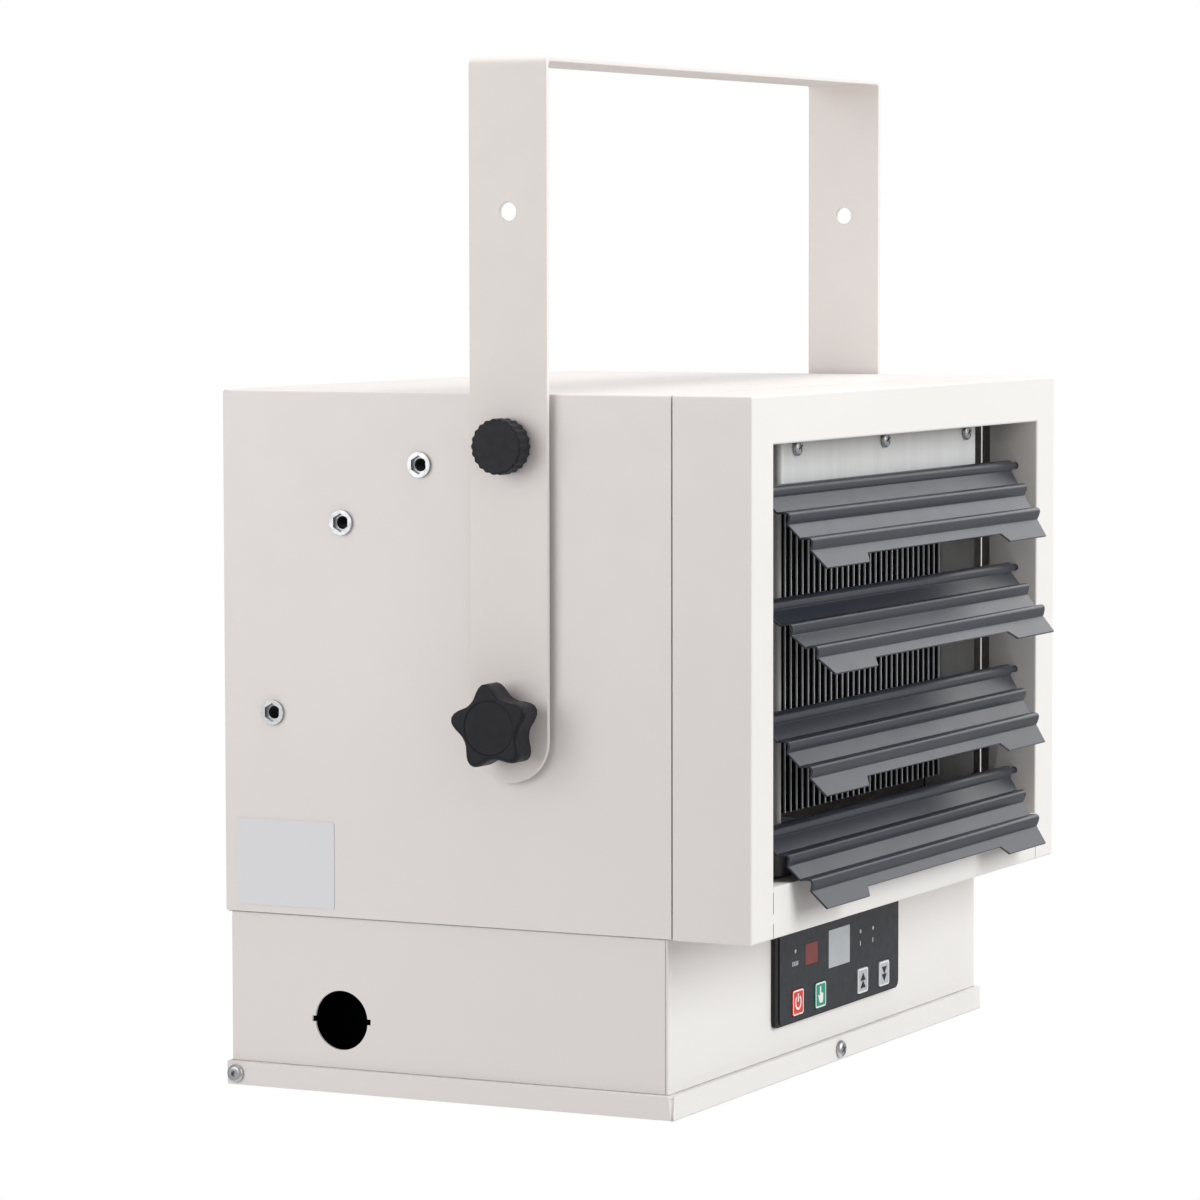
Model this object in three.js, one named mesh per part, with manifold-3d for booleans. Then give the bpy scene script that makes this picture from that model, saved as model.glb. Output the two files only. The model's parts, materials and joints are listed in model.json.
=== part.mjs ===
// Ceiling mounted fan heater: a sheet-steel cabinet that tilts in a U-shaped hanger strap.
// Millimetres. +X is to the right seen from the outlet, -Y is forward, +Z is up.
// The origin is the middle of the upper face of the strap, where it meets the ceiling.

import * as THREE from 'three';
import { mergeVertices } from 'three/addons/utils/BufferGeometryUtils.js';
import Module from 'manifold-3d';

const wasm = await Module();
wasm.setup();

// ---------------------------------------------------------------- driving dimensions

// clearances
const seatGap = 0.1;        // between pieces that are screwed or clipped face to face
const slideGap = 0.3;       // round pins, buttons and anything else that moves in a hole
const studReach = 0.4;      // from the tip of an index stud to the insert that it locks into
const overcut = 1;          // how far a cutter runs past the faces that it opens
const mergeReach = 1e-3;    // corners nearer than this are one corner

// hanger strap
const strapWidth = 40;
const strapThickness = 2.5;
const strapBend = 4.5;      // outer bend radius
const strapGap = 3;         // air between strap and cabinet on each side
const pivotDrop = 305.4;    // from the ceiling to the tilt axis
const strapEndDrop = 7;     // from the tilt axis to the centre of the leg's round end
const legHoleDiameter = 8.5;
const legHoleDrop = 70.5;
const ceilingHoleDiameter = 8.5;
const ceilingHoleOffset = 120;

// cabinet
const cabinetWidth = 375;
const cabinetHeight = 248;
const pivotToTop = 152;
const pivotToFront = 80.5;
const pivotToRear = 154.5;
const sheet = 1.2;          // painted steel sheet
const floorFlange = 12;
const rearFlange = 14;

// threaded inserts and index circle
const indexRadius = 128;
const indexAngles = [0, 22.5, 45, 90];   // degrees from upright towards the rear
const insertFlangeDiameter = 12;
const insertFlangeThickness = 1.5;
const insertBarrelDiameter = 9.6;
const insertBarrelLength = 11;
const insertHexAcross = 7.6;
const insertHexDepth = 2.2;
const studDiameter = 5.6;

// star knob on the tilt axis
const starDiameter = 40.6;
const starWaist = 29.4;     // across the valleys between the lobes
const starLobes = 5;
const starTurn = 82;        // degrees of the first lobe, from +Y towards +Z
const starFlank = 1.35;     // under 1 the lobes are broad, over 1 they are narrow
const starThickness = 13;
const starHubDiameter = 20;
const starHubLength = 6;
const starCapDiameter = 25.2;
const starCapRecess = 1;
const starStudDepth = 13;   // how far the stud reaches into the cabinet side
const starSocketDepth = 12; // how far the stud reaches into the knob

// round knob on the index circle
const roundDiameter = 26;
const roundScallops = 22;
const scallopDepth = 0.7;
const roundThickness = 10;
const roundHubDiameter = 15;
const roundHubLength = 1;
const roundSocketDepth = 7; // how far the stud reaches into the knob

// washer under each knob
const washerThickness = 1.5;
const starWasherDiameter = 22;
const roundWasherDiameter = 17;

// outlet collar
const collarDepth = 39.5;
const collarRim = 24;       // width of the front flange at the sides and below
const collarTopRim = 22.6;
const collarReturn = 26;    // depth of the inner side walls behind the front flange
const collarLedge = 11;     // depth of the inner walls above and below the opening
const cornerSlit = 0.8;
const upperSlitLength = 10;      // above the joint between the flanges' corners
const lowerSlitLength = 7.2;

// louvres
const louvreCount = 4;
const louvreTopDrop = 45.4;      // from the cabinet top to the first pivot
const louvreBottomRise = 45.7;   // from the cabinet's lower edge to the last pivot
const louvreSetback = 12;        // from the collar face back to the pivots
const louvreChord = 43.6;
const louvreSheet = 1.1;
const louvreRollDiameter = 6.5;
const louvreEndGap = 10;         // from the opening's side to the louvre's end, at the pivot
const louvreTaper = 0.36;        // how much each end steps in per millimetre of chord
const louvreTabLength = 54;
const louvreNotch = 5;
const louvrePinDiameter = 3;
const louvrePinReach = 2.5;      // past the collar's inner wall
const louvreBeads = [14.9, 29.7]; // from the pivot to the middle of each rounded bead
const beadWidth = 6.6;
const beadHeight = 3.7;
const louvreAngles = [52, 44, 52, 51]; // degrees below level at rest

// heater shroud, air baffle and element
const shroudWidth = 240;
const shroudSheet = 1;
const shroudSetback = 15.6;      // from the collar face back to the shroud's face
const shroudTopDrop = 8;         // below the cabinet top
const shroudBottomRise = 2;      // above the cabinet floor's front flange
const windowTopDrop = 50;        // below the cabinet top
const windowBottomRise = 35;     // above the cabinet's lower edge
const shroudBend = 3;
const baffleSetback = 43;        // from the collar face back to the baffle
const finPitch = 6.8;
const finThickness = 0.7;
const finDepth = 30;
const finSetback = 34;           // from the collar face back to the fins
const finHeight = 149;
const finTopDrop = 2;            // below the window's top
const elementRodSize = 9;
const elementRodRows = 2;
const baffleScrewSpacing = 104;
const baffleScrewDrop = 26;      // below the cabinet top
const screwHeadDiameter = 8.7;
const screwHeadHeight = 2.4;
const screwShankDiameter = 3.8;
const screwShankLength = 5;

// fan
const fanDiameter = 188;
const fanHubDiameter = 52;
const fanHubLength = 24;
const bladeCount = 5;
const bladeSheet = 1.6;
const bladePitch = 32;           // degrees
const bladeChord = 58;
const orificeDiameter = 200;
const orificeDepth = 14;
const fanSetback = 10;           // from the rear panel's inner face to the hub
const hubCorner = 3;
const bladeRootDepth = 4;        // how far a blade runs into the hub
const shaftDiameter = 8;
const motorDiameter = 84;
const motorLength = 58;
const motorCorner = 4;
const motorMountSheet = 2;
const motorMountHeight = 56;
const motorMountGap = 6.8;       // from the orifice's lip to each leg
const mountToHub = 12;           // from the mount's front face to the fan hub
const motorMountFoot = 14;
const shaftInMotor = 9;
const shaftInHub = 20;
const guardWire = 2.6;
const guardRings = 5;
const guardSpokes = 4;
const guardDiameter = 212;
const guardHubDiameter = 44;
const guardSeat = 3.5;           // how far the spokes lie on the panel past the orifice's lip
const guardSteps = 32;           // flats round each ring

// control box and its bottom cover
const boxHeight = 83;
const boxInsetSide = 2;
const boxInsetFront = 3;
const boxInsetRear = 1.5;
const trayLip = 11.5;
const trayJoggle = 0.5;          // the box walls draw in where the lips pass over them
const conduitHoleDiameter = 28.2;
const conduitHoleY = 93.3;
const conduitHoleRise = 34.4;    // above the underside
const conduitEarWidth = 2.8;
const conduitEarReach = 1.6;
const linerSheet = 1;
const linerDepth = 34;
const linerWidth = 84;
const linerRise = 11;            // above the conduit hole, so that wires pass over it
const trayScrewRise = 5.5;
const trayScrewInset = 4.8;      // from the rear edge to the side screws

// keypad on the front of the control box
const keypadWidth = 150;
const keypadHeight = 53;
const keypadOffset = 2.6;        // right of the middle
const keypadTopGap = 4;          // below the upper cabinet
const bezelProud = 2.2;
const bezelRim = 4;               // left of the printed film
const bezelLap = 2;               // over the wall, round the hole behind the keypad
const bezelCorner = 3;
const overlayThickness = 0.5;
const overlayEndGap = 0.8;        // from the film to the bezel's right end
const overlayEdgeGap = 1;         // from the film to the bezel's long edges
const keyWidth = 12.6;
const keyHeight = 12.4;
const keyProud = 0.5;
const keyTravel = 0.6;
const keyCorner = 1.2;
const keyRise = 9.7;             // from the keypad's lower edge to the keys' middle
const keyPitch = 26.8;
const keysOffset = 2.2;          // the keys' middle, right of the keypad's middle
const keyGroupOffset = 39.3;     // from there to the middle of each pair of keys
const displayWidth = 25.7;
const displayHeight = 18.6;
const displayDrop = 22.8;        // from the keypad's upper edge to the display's middle
const irWidth = 14.4;
const irHeight = 10.4;
const irOffset = -33.4;
const irLift = 1;                // its middle above the display's middle
const boardThickness = 1.6;
const boardStandoff = 8;
const boardInset = 5;            // from the keypad's edges
const postDiameter = 5;
const postInset = 8;

// electrical parts inside the control box
const contactorSize = [46, 52, 36];
const terminalSize = [20, 60, 20];
const terminalGap = 4;           // from the box's left wall
const cutoutDiameter = 17;
const cutoutHeight = 7;

// rating label
const labelLength = 52.4;
const labelHeight = 41;
const labelRearInset = 6.6;
const labelRise = 4.2;           // above the upper cabinet's lower edge
const labelThickness = 0.3;

// ---------------------------------------------------------------- derived places

const pivotZ = -pivotDrop;
const topZ = pivotZ + pivotToTop;
const deckZ = topZ - cabinetHeight;      // underside of the upper cabinet
const baseZ = deckZ - boxHeight;
const seamY = -pivotToFront;
const rearY = pivotToRear;
const faceY = seamY - collarDepth;       // front of the outlet collar
const sideX = cabinetWidth / 2;
const strapInX = sideX + strapGap;
const strapOutX = strapInX + strapThickness;
const middleZ = (topZ + deckZ) / 2;
const boltSegments = 24;

// ---------------------------------------------------------------- finishes

const finish = {
  cabinet: [0xe6e1dc, 0.5, 0.1],
  strap: [0xe8e0d8, 0.5, 0.1],
  louvre: [0x4c4e54, 0.45, 0.3],
  knob: [0x2b2c2f, 0.7, 0],
  zinc: [0xb9bcbe, 0.3, 0.9],
  stainless: [0xbdbcb6, 0.35, 0.9],
  galvanised: [0x8d9194, 0.5, 0.8],
  fins: [0x1f2022, 0.5, 0.5],
  motor: [0x24262a, 0.5, 0.5],
  fan: [0x9aa0a4, 0.4, 0.8],
  guard: [0x2a2b2d, 0.5, 0.4],
  bezel: [0x18181a, 0.5, 0],
  overlay: [0x3e3f44, 0.55, 0],
  display: [0xa6abae, 0.3, 0],
  infrared: [0x7a3631, 0.25, 0],
  red: [0xd9382f, 0.5, 0],
  green: [0x17977a, 0.5, 0],
  grey: [0xb5b8ba, 0.5, 0],
  board: [0x1f5c3a, 0.6, 0],
  liner: [0x0e0e0f, 0.9, 0],
  electric: [0x2f3033, 0.6, 0],
  terminal: [0xd8d2c2, 0.6, 0],
  label: [0xc9cacb, 0.4, 0.3],
};

const heater = new THREE.Group();

function addPiece(name, shape, finishName, parent = heater) {
  const [color, roughness, metalness] = finish[finishName];
  const material = new THREE.MeshStandardMaterial({ color, roughness, metalness });
  const geometry = shape.isBufferGeometry ? shape : geometryOf(shape);
  const mesh = new THREE.Mesh(geometry, material);
  mesh.name = name;
  parent.add(mesh);
  return mesh;
}

// ---------------------------------------------------------------- solids

// A closed three.js geometry as a solid that can be joined and cut.
function solid(geometry) {
  const bare = geometry.clone();
  bare.deleteAttribute('normal');
  bare.deleteAttribute('uv');
  const merged = mergeVertices(bare, mergeReach);
  const corners = merged.index.array;
  const kept = [];
  for (let i = 0; i < corners.length; i += 3) {
    const [a, b, c] = [corners[i], corners[i + 1], corners[i + 2]];
    if (a !== b && b !== c && c !== a) kept.push(a, b, c);
  }
  return new wasm.Manifold(new wasm.Mesh({
    numProp: 3,
    vertProperties: merged.attributes.position.array,
    triVerts: new Uint32Array(kept),
  }));
}

function geometryOf(shape) {
  const mesh = shape.getMesh();
  const geometry = new THREE.BufferGeometry();
  geometry.setAttribute('position', new THREE.BufferAttribute(mesh.vertProperties, 3));
  geometry.setIndex(new THREE.BufferAttribute(mesh.triVerts, 1));
  return geometry;
}

function join(shapes) {
  return shapes.reduce((whole, shape) => whole.add(shape));
}

function cut(shape, tools) {
  return tools.reduce((rest, tool) => rest.subtract(tool), shape);
}

// A box between two limits on each axis.
function block([x0, x1], [y0, y1], [z0, z1]) {
  const geometry = new THREE.BoxGeometry(x1 - x0, y1 - y0, z1 - z0);
  return solid(geometry.translate((x0 + x1) / 2, (y0 + y1) / 2, (z0 + z1) / 2));
}

// A sheet box: the outer limits, the wall, and which of its six sides stay open.
function sheetBox(x, y, z, wall, open) {
  const inner = [x, y, z].map(([low, high], axis) => {
    const name = 'xyz'[axis];
    const lowWall = open.includes(`-${name}`) ? -wall : wall;
    const highWall = open.includes(`+${name}`) ? -wall : wall;
    return [low + lowWall, high - highWall];
  });
  return block(x, y, z).subtract(block(...inner));
}

// Turns an outline drawn in two axes so that it is extruded along the third.
const alongAxis = {
  x: new THREE.Matrix4().makeBasis(
    new THREE.Vector3(0, 1, 0), new THREE.Vector3(0, 0, 1), new THREE.Vector3(1, 0, 0)),
  y: new THREE.Matrix4().makeBasis(
    new THREE.Vector3(1, 0, 0), new THREE.Vector3(0, 0, 1), new THREE.Vector3(0, -1, 0)),
  z: new THREE.Matrix4(),
};

// An outline (y, z), (x, z) or (x, y) extruded along axis x, y or z between two limits.
function extrude(outline, axis, [from, to], curveSegments = 12) {
  const depth = to - from;
  const geometry = new THREE.ExtrudeGeometry(outline, { depth, bevelEnabled: false, curveSegments });
  const start = axis === 'y' ? -to : from;
  return solid(geometry.translate(0, 0, start).applyMatrix4(alongAxis[axis]));
}

// A round bar along an axis, through the centre given by its two other coordinates.
function bar(axis, diameter, [first, second], [from, to], segments = 16) {
  const geometry = new THREE.CylinderGeometry(diameter / 2, diameter / 2, to - from, segments);
  const middle = (from + to) / 2;
  if (axis === 'x') geometry.rotateZ(Math.PI / 2).translate(middle, first, second);
  if (axis === 'y') geometry.translate(first, middle, second);
  if (axis === 'z') geometry.rotateX(Math.PI / 2).translate(first, second, middle);
  return solid(geometry);
}

// A profile of [radius, distance] points turned about the x or y axis. It starts and ends on the axis.
function turned(profile, axis, segments = 24) {
  const geometry = new THREE.LatheGeometry(profile.map(([r, d]) => new THREE.Vector2(r, d)), segments);
  if (axis === 'x') geometry.rotateZ(-Math.PI / 2);
  return solid(geometry);
}

function rectangle([x0, x1], [y0, y1], corner = 0) {
  const shape = new THREE.Shape();
  if (corner === 0) {
    shape.moveTo(x0, y0).lineTo(x1, y0).lineTo(x1, y1).lineTo(x0, y1).closePath();
    return shape;
  }
  shape.absarc(x1 - corner, y0 + corner, corner, -Math.PI / 2, 0);
  shape.absarc(x1 - corner, y1 - corner, corner, 0, Math.PI / 2);
  shape.absarc(x0 + corner, y1 - corner, corner, Math.PI / 2, Math.PI);
  shape.absarc(x0 + corner, y0 + corner, corner, Math.PI, Math.PI * 1.5);
  return shape;
}

function grown([low, high], by) {
  return [low - by, high + by];
}

function around(centre, size) {
  return [centre - size / 2, centre + size / 2];
}

function mirrored(shape, side) {
  return side > 0 ? shape : shape.mirror([1, 0, 0]);
}

const sides = [['left', -1], ['right', 1]];

function indexPoint(degrees) {
  const angle = THREE.MathUtils.degToRad(degrees);
  return [indexRadius * Math.sin(angle), pivotZ + indexRadius * Math.cos(angle)];
}

// ---------------------------------------------------------------- hanger strap

function hangerBracket() {
  const roundTop = new THREE.Shape();
  roundTop.moveTo(-strapOutX, baseZ);
  roundTop.lineTo(strapOutX, baseZ);
  roundTop.absarc(strapOutX - strapBend, -strapBend, strapBend, 0, Math.PI / 2);
  roundTop.absarc(-strapOutX + strapBend, -strapBend, strapBend, Math.PI / 2, Math.PI);
  const innerBend = strapBend - strapThickness;
  const hollow = new THREE.Shape();
  hollow.moveTo(-strapInX, baseZ - overcut);
  hollow.lineTo(strapInX, baseZ - overcut);
  hollow.absarc(strapInX - innerBend, -strapBend, innerBend, 0, Math.PI / 2);
  hollow.absarc(-strapInX + innerBend, -strapBend, innerBend, Math.PI / 2, Math.PI);
  const across = around(0, strapWidth);
  const band = extrude(roundTop, 'y', across, 4).subtract(extrude(hollow, 'y', grown(across, overcut), 4));

  const endRadius = strapWidth / 2;
  const endZ = pivotZ - strapEndDrop;
  const leg = new THREE.Shape();
  leg.moveTo(endRadius, overcut);
  leg.lineTo(-endRadius, overcut);
  leg.absarc(0, endZ, endRadius, Math.PI, Math.PI * 2);
  const through = grown([-strapOutX, strapOutX], overcut);
  const down = grown([-strapThickness, 0], overcut);
  const studHole = studDiameter + 2 * slideGap;
  return cut(band.intersect(extrude(leg, 'x', through, 12)), [
    bar('x', legHoleDiameter, [0, -legHoleDrop], through, boltSegments),
    bar('x', studHole, [0, pivotZ], through),
    bar('x', studHole, [0, pivotZ + indexRadius], through),
    bar('z', ceilingHoleDiameter, [-ceilingHoleOffset, 0], down, boltSegments),
    bar('z', ceilingHoleDiameter, [ceilingHoleOffset, 0], down, boltSegments),
  ]);
}

addPiece('hanger_bracket', hangerBracket(), 'strap');

// ---------------------------------------------------------------- clamp knobs

const knobBaseX = strapOutX + seatGap + washerThickness + seatGap;

function washer(diameter, z) {
  const hole = studDiameter + 2 * slideGap;
  const span = [strapOutX + seatGap, strapOutX + seatGap + washerThickness];
  return bar('x', diameter, [0, z], span, 20).subtract(bar('x', hole, [0, z], grown(span, overcut)));
}

// A knob outline whose radius swings between two values a number of times round.
function lobedOutline(outer, inner, lobes, steps, sharpness, turn) {
  const shape = new THREE.Shape();
  for (let i = 0; i < steps; i += 1) {
    const angle = (2 * Math.PI * i) / steps;
    const swing = (1 + Math.cos(lobes * (angle - turn))) / 2;
    const radius = inner + (outer - inner) * swing ** sharpness;
    const point = [radius * Math.cos(angle), radius * Math.sin(angle)];
    if (i === 0) shape.moveTo(...point);
    else shape.lineTo(...point);
  }
  return shape.closePath();
}

// The blind hole in the back of a knob that its stud is moulded into.
function studSocket(z, depth) {
  const span = [knobBaseX - overcut, knobBaseX + depth + seatGap];
  return bar('x', studDiameter + 2 * seatGap, [0, z], span, 16);
}

function starKnob() {
  const bodyX = knobBaseX + starHubLength;
  const faceX = bodyX + starThickness;
  const turn = THREE.MathUtils.degToRad(starTurn);
  const star = lobedOutline(starDiameter / 2, starWaist / 2, starLobes, 60, starFlank, turn);
  const body = extrude(star, 'x', [bodyX, faceX]).translate([0, 0, pivotZ]);
  const hub = bar('x', starHubDiameter, [0, pivotZ], [knobBaseX, bodyX + overcut]);
  const cap = bar('x', starCapDiameter, [0, pivotZ], [faceX - starCapRecess, faceX + overcut], 28);
  return cut(body.add(hub), [cap, studSocket(pivotZ, starSocketDepth)]);
}

function roundKnob() {
  const z = pivotZ + indexRadius;
  const bodyX = knobBaseX + roundHubLength;
  const faceX = bodyX + roundThickness;
  const radius = roundDiameter / 2;
  const grip = lobedOutline(radius, radius - scallopDepth, roundScallops, 4 * roundScallops, 1, 0);
  const body = extrude(grip, 'x', [bodyX, faceX]).translate([0, 0, z]);
  const hub = bar('x', roundHubDiameter, [0, z], [knobBaseX, bodyX + overcut]);
  return body.add(hub).subtract(studSocket(z, roundSocketDepth));
}

const knobKinds = [
  {
    name: 'star',
    z: pivotZ,
    knob: starKnob(),
    washerDiameter: starWasherDiameter,
    innerX: sideX - starStudDepth,
    outerX: knobBaseX + starSocketDepth,
  },
  {
    name: 'index',
    z: pivotZ + indexRadius,
    knob: roundKnob(),
    washerDiameter: roundWasherDiameter,
    innerX: sideX + insertFlangeThickness + seatGap + studReach,
    outerX: knobBaseX + roundSocketDepth,
  },
];

for (const kind of knobKinds) {
  const stud = bar('x', studDiameter, [0, kind.z], [kind.innerX, kind.outerX], 16);
  const ring = washer(kind.washerDiameter, kind.z);
  for (const [side, sign] of sides) {
    addPiece(`${kind.name}_washer_${side}`, mirrored(ring, sign), 'zinc');
    addPiece(`${kind.name}_knob_${side}`, mirrored(kind.knob, sign), 'knob');
    addPiece(`${kind.name}_stud_${side}`, mirrored(stud, sign), 'zinc');
  }
}

// ---------------------------------------------------------------- cabinet

const insertHole = insertBarrelDiameter + 2 * seatGap;
const insertPlaces = [
  ['pivot', [0, pivotZ]],
  ...indexAngles.map((degrees, i) => [`index_${i + 1}`, indexPoint(degrees)]),
];

function cabinetShell() {
  const wrap = sheetBox([-sideX, sideX], [seamY, rearY], [deckZ, topZ], sheet, ['-y', '+y', '-z']);
  const through = grown([-sideX, sideX], overcut);
  return cut(wrap, insertPlaces.map(([, place]) => bar('x', insertHole, place, through, 12)));
}

const innerX = sideX - sheet - seatGap;

function cabinetFloor() {
  const y = [seamY, rearY - sheet - 2 * seatGap];
  return sheetBox([-innerX, innerX], y, [deckZ, deckZ + floorFlange], sheet, ['+z']);
}

function rearPanel() {
  const rimZ = [deckZ + sheet + floorFlange, topZ - sheet - seatGap];
  const plateZ = [deckZ, rimZ[1]];
  const plate = block([-innerX, innerX], [rearY - sheet, rearY], plateZ);
  const rim = sheetBox([-innerX, innerX], [rearY - rearFlange, rearY], rimZ, sheet, ['-y', '-z']);
  const lipY = [rearY - orificeDepth, rearY];
  const lip = bar('y', orificeDiameter + 2 * sheet, [0, middleZ], lipY, 48);
  const hole = bar('y', orificeDiameter, [0, middleZ], grown(lipY, overcut), 48);
  return join([plate, rim, lip]).subtract(hole);
}

function threadedInsert([y, z]) {
  const half = Math.PI / 6;
  const flangeX = [sideX + seatGap, sideX + seatGap + insertFlangeThickness];
  const flange = bar('x', insertFlangeDiameter, [y, z], flangeX);
  const barrelX = sideX - insertBarrelLength;
  const barrel = bar('x', insertBarrelDiameter, [y, z], [barrelX, flangeX[0] + seatGap], 12);
  const outX = flangeX[1];
  const hexDiameter = insertHexAcross / Math.cos(half);
  const hex = bar('x', hexDiameter, [y, z], [outX - insertHexDepth, outX + overcut], 6);
  const bore = bar('x', studDiameter + 2 * slideGap, [y, z], grown([barrelX, outX], overcut), 12);
  return cut(flange.add(barrel), [hex, bore]);
}

addPiece('cabinet_shell', cabinetShell(), 'cabinet');
addPiece('cabinet_floor', cabinetFloor(), 'galvanised');
addPiece('rear_panel', rearPanel(), 'cabinet');
for (const [name, place] of insertPlaces) {
  const insert = threadedInsert(place);
  for (const [side, sign] of sides) {
    addPiece(`${name}_insert_${side}`, mirrored(insert, sign), 'zinc');
  }
}

const labelY = [rearY - labelRearInset - labelLength, rearY - labelRearInset];
const labelZ = [deckZ + labelRise, deckZ + labelRise + labelHeight];
const labelX = [-sideX - seatGap - labelThickness, -sideX - seatGap];
addPiece('rating_label', block(labelX, labelY, labelZ), 'label');

// ---------------------------------------------------------------- outlet collar

const openX = sideX - collarRim;
const openTopZ = topZ - collarTopRim;
const openBottomZ = deckZ + collarRim;
const pivotY = faceY + louvreSetback;
const louvrePitch = (cabinetHeight - louvreTopDrop - louvreBottomRise) / (louvreCount - 1);

function louvrePivotZ(i) {
  return topZ - louvreTopDrop - i * louvrePitch;
}

function outletCollar() {
  const y = [faceY, seamY - seatGap];
  const outer = sheetBox([-sideX, sideX], y, [deckZ, topZ], sheet, ['+y']);
  const throatX = openX + sheet;
  const throatZ = [openBottomZ - sheet, openTopZ + sheet];
  const throat = block([-throatX, throatX], [faceY, faceY + collarReturn], throatZ);
  const passage = block([-openX, openX], [faceY + collarLedge, rearY], grown(throatZ, overcut));
  const opening = block([-openX, openX], [faceY - overcut, rearY], [openBottomZ, openTopZ]);
  const slits = [];
  for (const [, sign] of sides) {
    const x = around(sign * openX, cornerSlit);
    const front = [faceY - overcut, faceY + sheet];
    const upperEnd = openBottomZ - 2 * sheet;
    slits.push(block(x, front, [upperEnd - upperSlitLength, upperEnd]));
    slits.push(block(x, front, [deckZ - overcut, deckZ + lowerSlitLength]));
  }
  const pinHoles = [];
  const holeDiameter = louvrePinDiameter + 2 * slideGap;
  for (let i = 0; i < louvreCount; i += 1) {
    const through = grown([-throatX, throatX], overcut);
    pinHoles.push(bar('x', holeDiameter, [pivotY, louvrePivotZ(i)], through, 16));
  }
  return cut(outer.add(throat.subtract(passage)), [opening, ...slits, ...pinHoles]);
}

addPiece('outlet_collar', outletCollar(), 'cabinet');

// ---------------------------------------------------------------- louvres

// The slat's middle line from the pivot to the lip: flats with rounded beads between them.
function louvreLine() {
  const stepsPerBead = 8;
  const line = [new THREE.Vector2(0, 0)];
  for (const centre of louvreBeads) {
    for (let i = 0; i <= stepsPerBead; i += 1) {
      const share = i / stepsPerBead;
      const along = centre + (share - 0.5) * beadWidth;
      line.push(new THREE.Vector2(along, beadHeight * Math.sin(Math.PI * share)));
    }
  }
  line.push(new THREE.Vector2(louvreChord, 0));
  return line;
}

// The slat's section: the middle line with half the sheet's thickness on each side.
function louvreSection() {
  const line = louvreLine();
  const last = line.length - 1;
  const offsets = line.map((point, i) => {
    const before = i === 0 ? point : line[i - 1];
    const after = i === last ? point : line[i + 1];
    const intoPoint = point.clone().sub(before).normalize();
    const outOfPoint = after.clone().sub(point).normalize();
    const along = intoPoint.add(outOfPoint).normalize();
    return new THREE.Vector2(-along.y, along.x).multiplyScalar(louvreSheet / 2);
  });
  const upper = line.map((point, i) => point.clone().add(offsets[i]));
  const lower = line.map((point, i) => point.clone().sub(offsets[i])).reverse();
  return new THREE.Shape([...upper, ...lower].map(({ x, y }) => new THREE.Vector2(-x, y)));
}

const louvreHalfLength = openX - louvreEndGap;

// The slat seen square on: its ends draw in towards the tip, and its lip is notched between two tabs.
function louvreOutline() {
  const tipHalf = louvreHalfLength - louvreTaper * louvreChord;
  const notchHalf = tipHalf - louvreTabLength;
  const back = louvreRollDiameter;
  const outline = new THREE.Shape();
  outline.moveTo(-louvreHalfLength - louvreTaper * back, back);
  outline.lineTo(-tipHalf, -louvreChord);
  outline.lineTo(-notchHalf - louvreNotch, -louvreChord);
  outline.lineTo(-notchHalf, -louvreChord + louvreNotch);
  outline.lineTo(notchHalf, -louvreChord + louvreNotch);
  outline.lineTo(notchHalf + louvreNotch, -louvreChord);
  outline.lineTo(tipHalf, -louvreChord);
  outline.lineTo(louvreHalfLength + louvreTaper * back, back);
  return outline.closePath();
}

function louvre() {
  const wide = [-louvreHalfLength, louvreHalfLength];
  const depth = [-louvreChord, louvreChord];
  const slat = join([
    extrude(louvreSection(), 'x', wide),
    bar('x', louvreRollDiameter, [0, 0], wide, 16),
  ]).intersect(extrude(louvreOutline(), 'z', depth));
  const pinX = openX + sheet + louvrePinReach;
  return slat.add(bar('x', louvrePinDiameter, [0, 0], [-pinX, pinX], 12));
}

const slat = louvre();
for (let i = 0; i < louvreCount; i += 1) {
  const piece = addPiece(`louvre_${i + 1}`, slat, 'louvre');
  piece.position.set(0, pivotY, louvrePivotZ(i));
  piece.rotation.x = THREE.MathUtils.degToRad(louvreAngles[i]);
}

// ---------------------------------------------------------------- heater shroud and element

const shroudFaceY = faceY + shroudSetback;
const baffleY = faceY + baffleSetback;
const shroudX = shroudWidth / 2;
const shroudZ = [deckZ + floorFlange + shroudBottomRise, topZ - shroudTopDrop];
const windowZ = [deckZ + windowBottomRise, topZ - windowTopDrop];
const baffleScrewZ = topZ - baffleScrewDrop;
const baffleScrewX = [-baffleScrewSpacing, 0, baffleScrewSpacing];

// A stainless channel, open at the back, with a window in its face where the air comes out.
function heaterShroud() {
  const backY = baffleY - seatGap;
  const channel = rectangle([-shroudX, shroudX], [shroudFaceY, backY + 2 * shroudBend], shroudBend);
  const inside = shroudX - shroudSheet;
  const hollowY = [shroudFaceY + shroudSheet, backY + 3 * shroudBend];
  const hollow = rectangle([-inside, inside], hollowY, shroudBend - shroudSheet);
  const tall = grown(shroudZ, overcut);
  const folded = extrude(channel, 'z', shroudZ, 5).subtract(extrude(hollow, 'z', tall, 5));
  const behind = block([-sideX, sideX], [backY, backY + 10 * shroudBend], tall);
  const front = [shroudFaceY - overcut, shroudFaceY + shroudBend];
  const window = block([-inside, inside], front, windowZ);
  const hole = screwShankDiameter + 2 * seatGap;
  const screwHoles = baffleScrewX.map((x) => (
    bar('y', hole, [x, baffleScrewZ], front, 12)));
  return cut(folded, [behind, window, ...screwHoles]);
}

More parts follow.
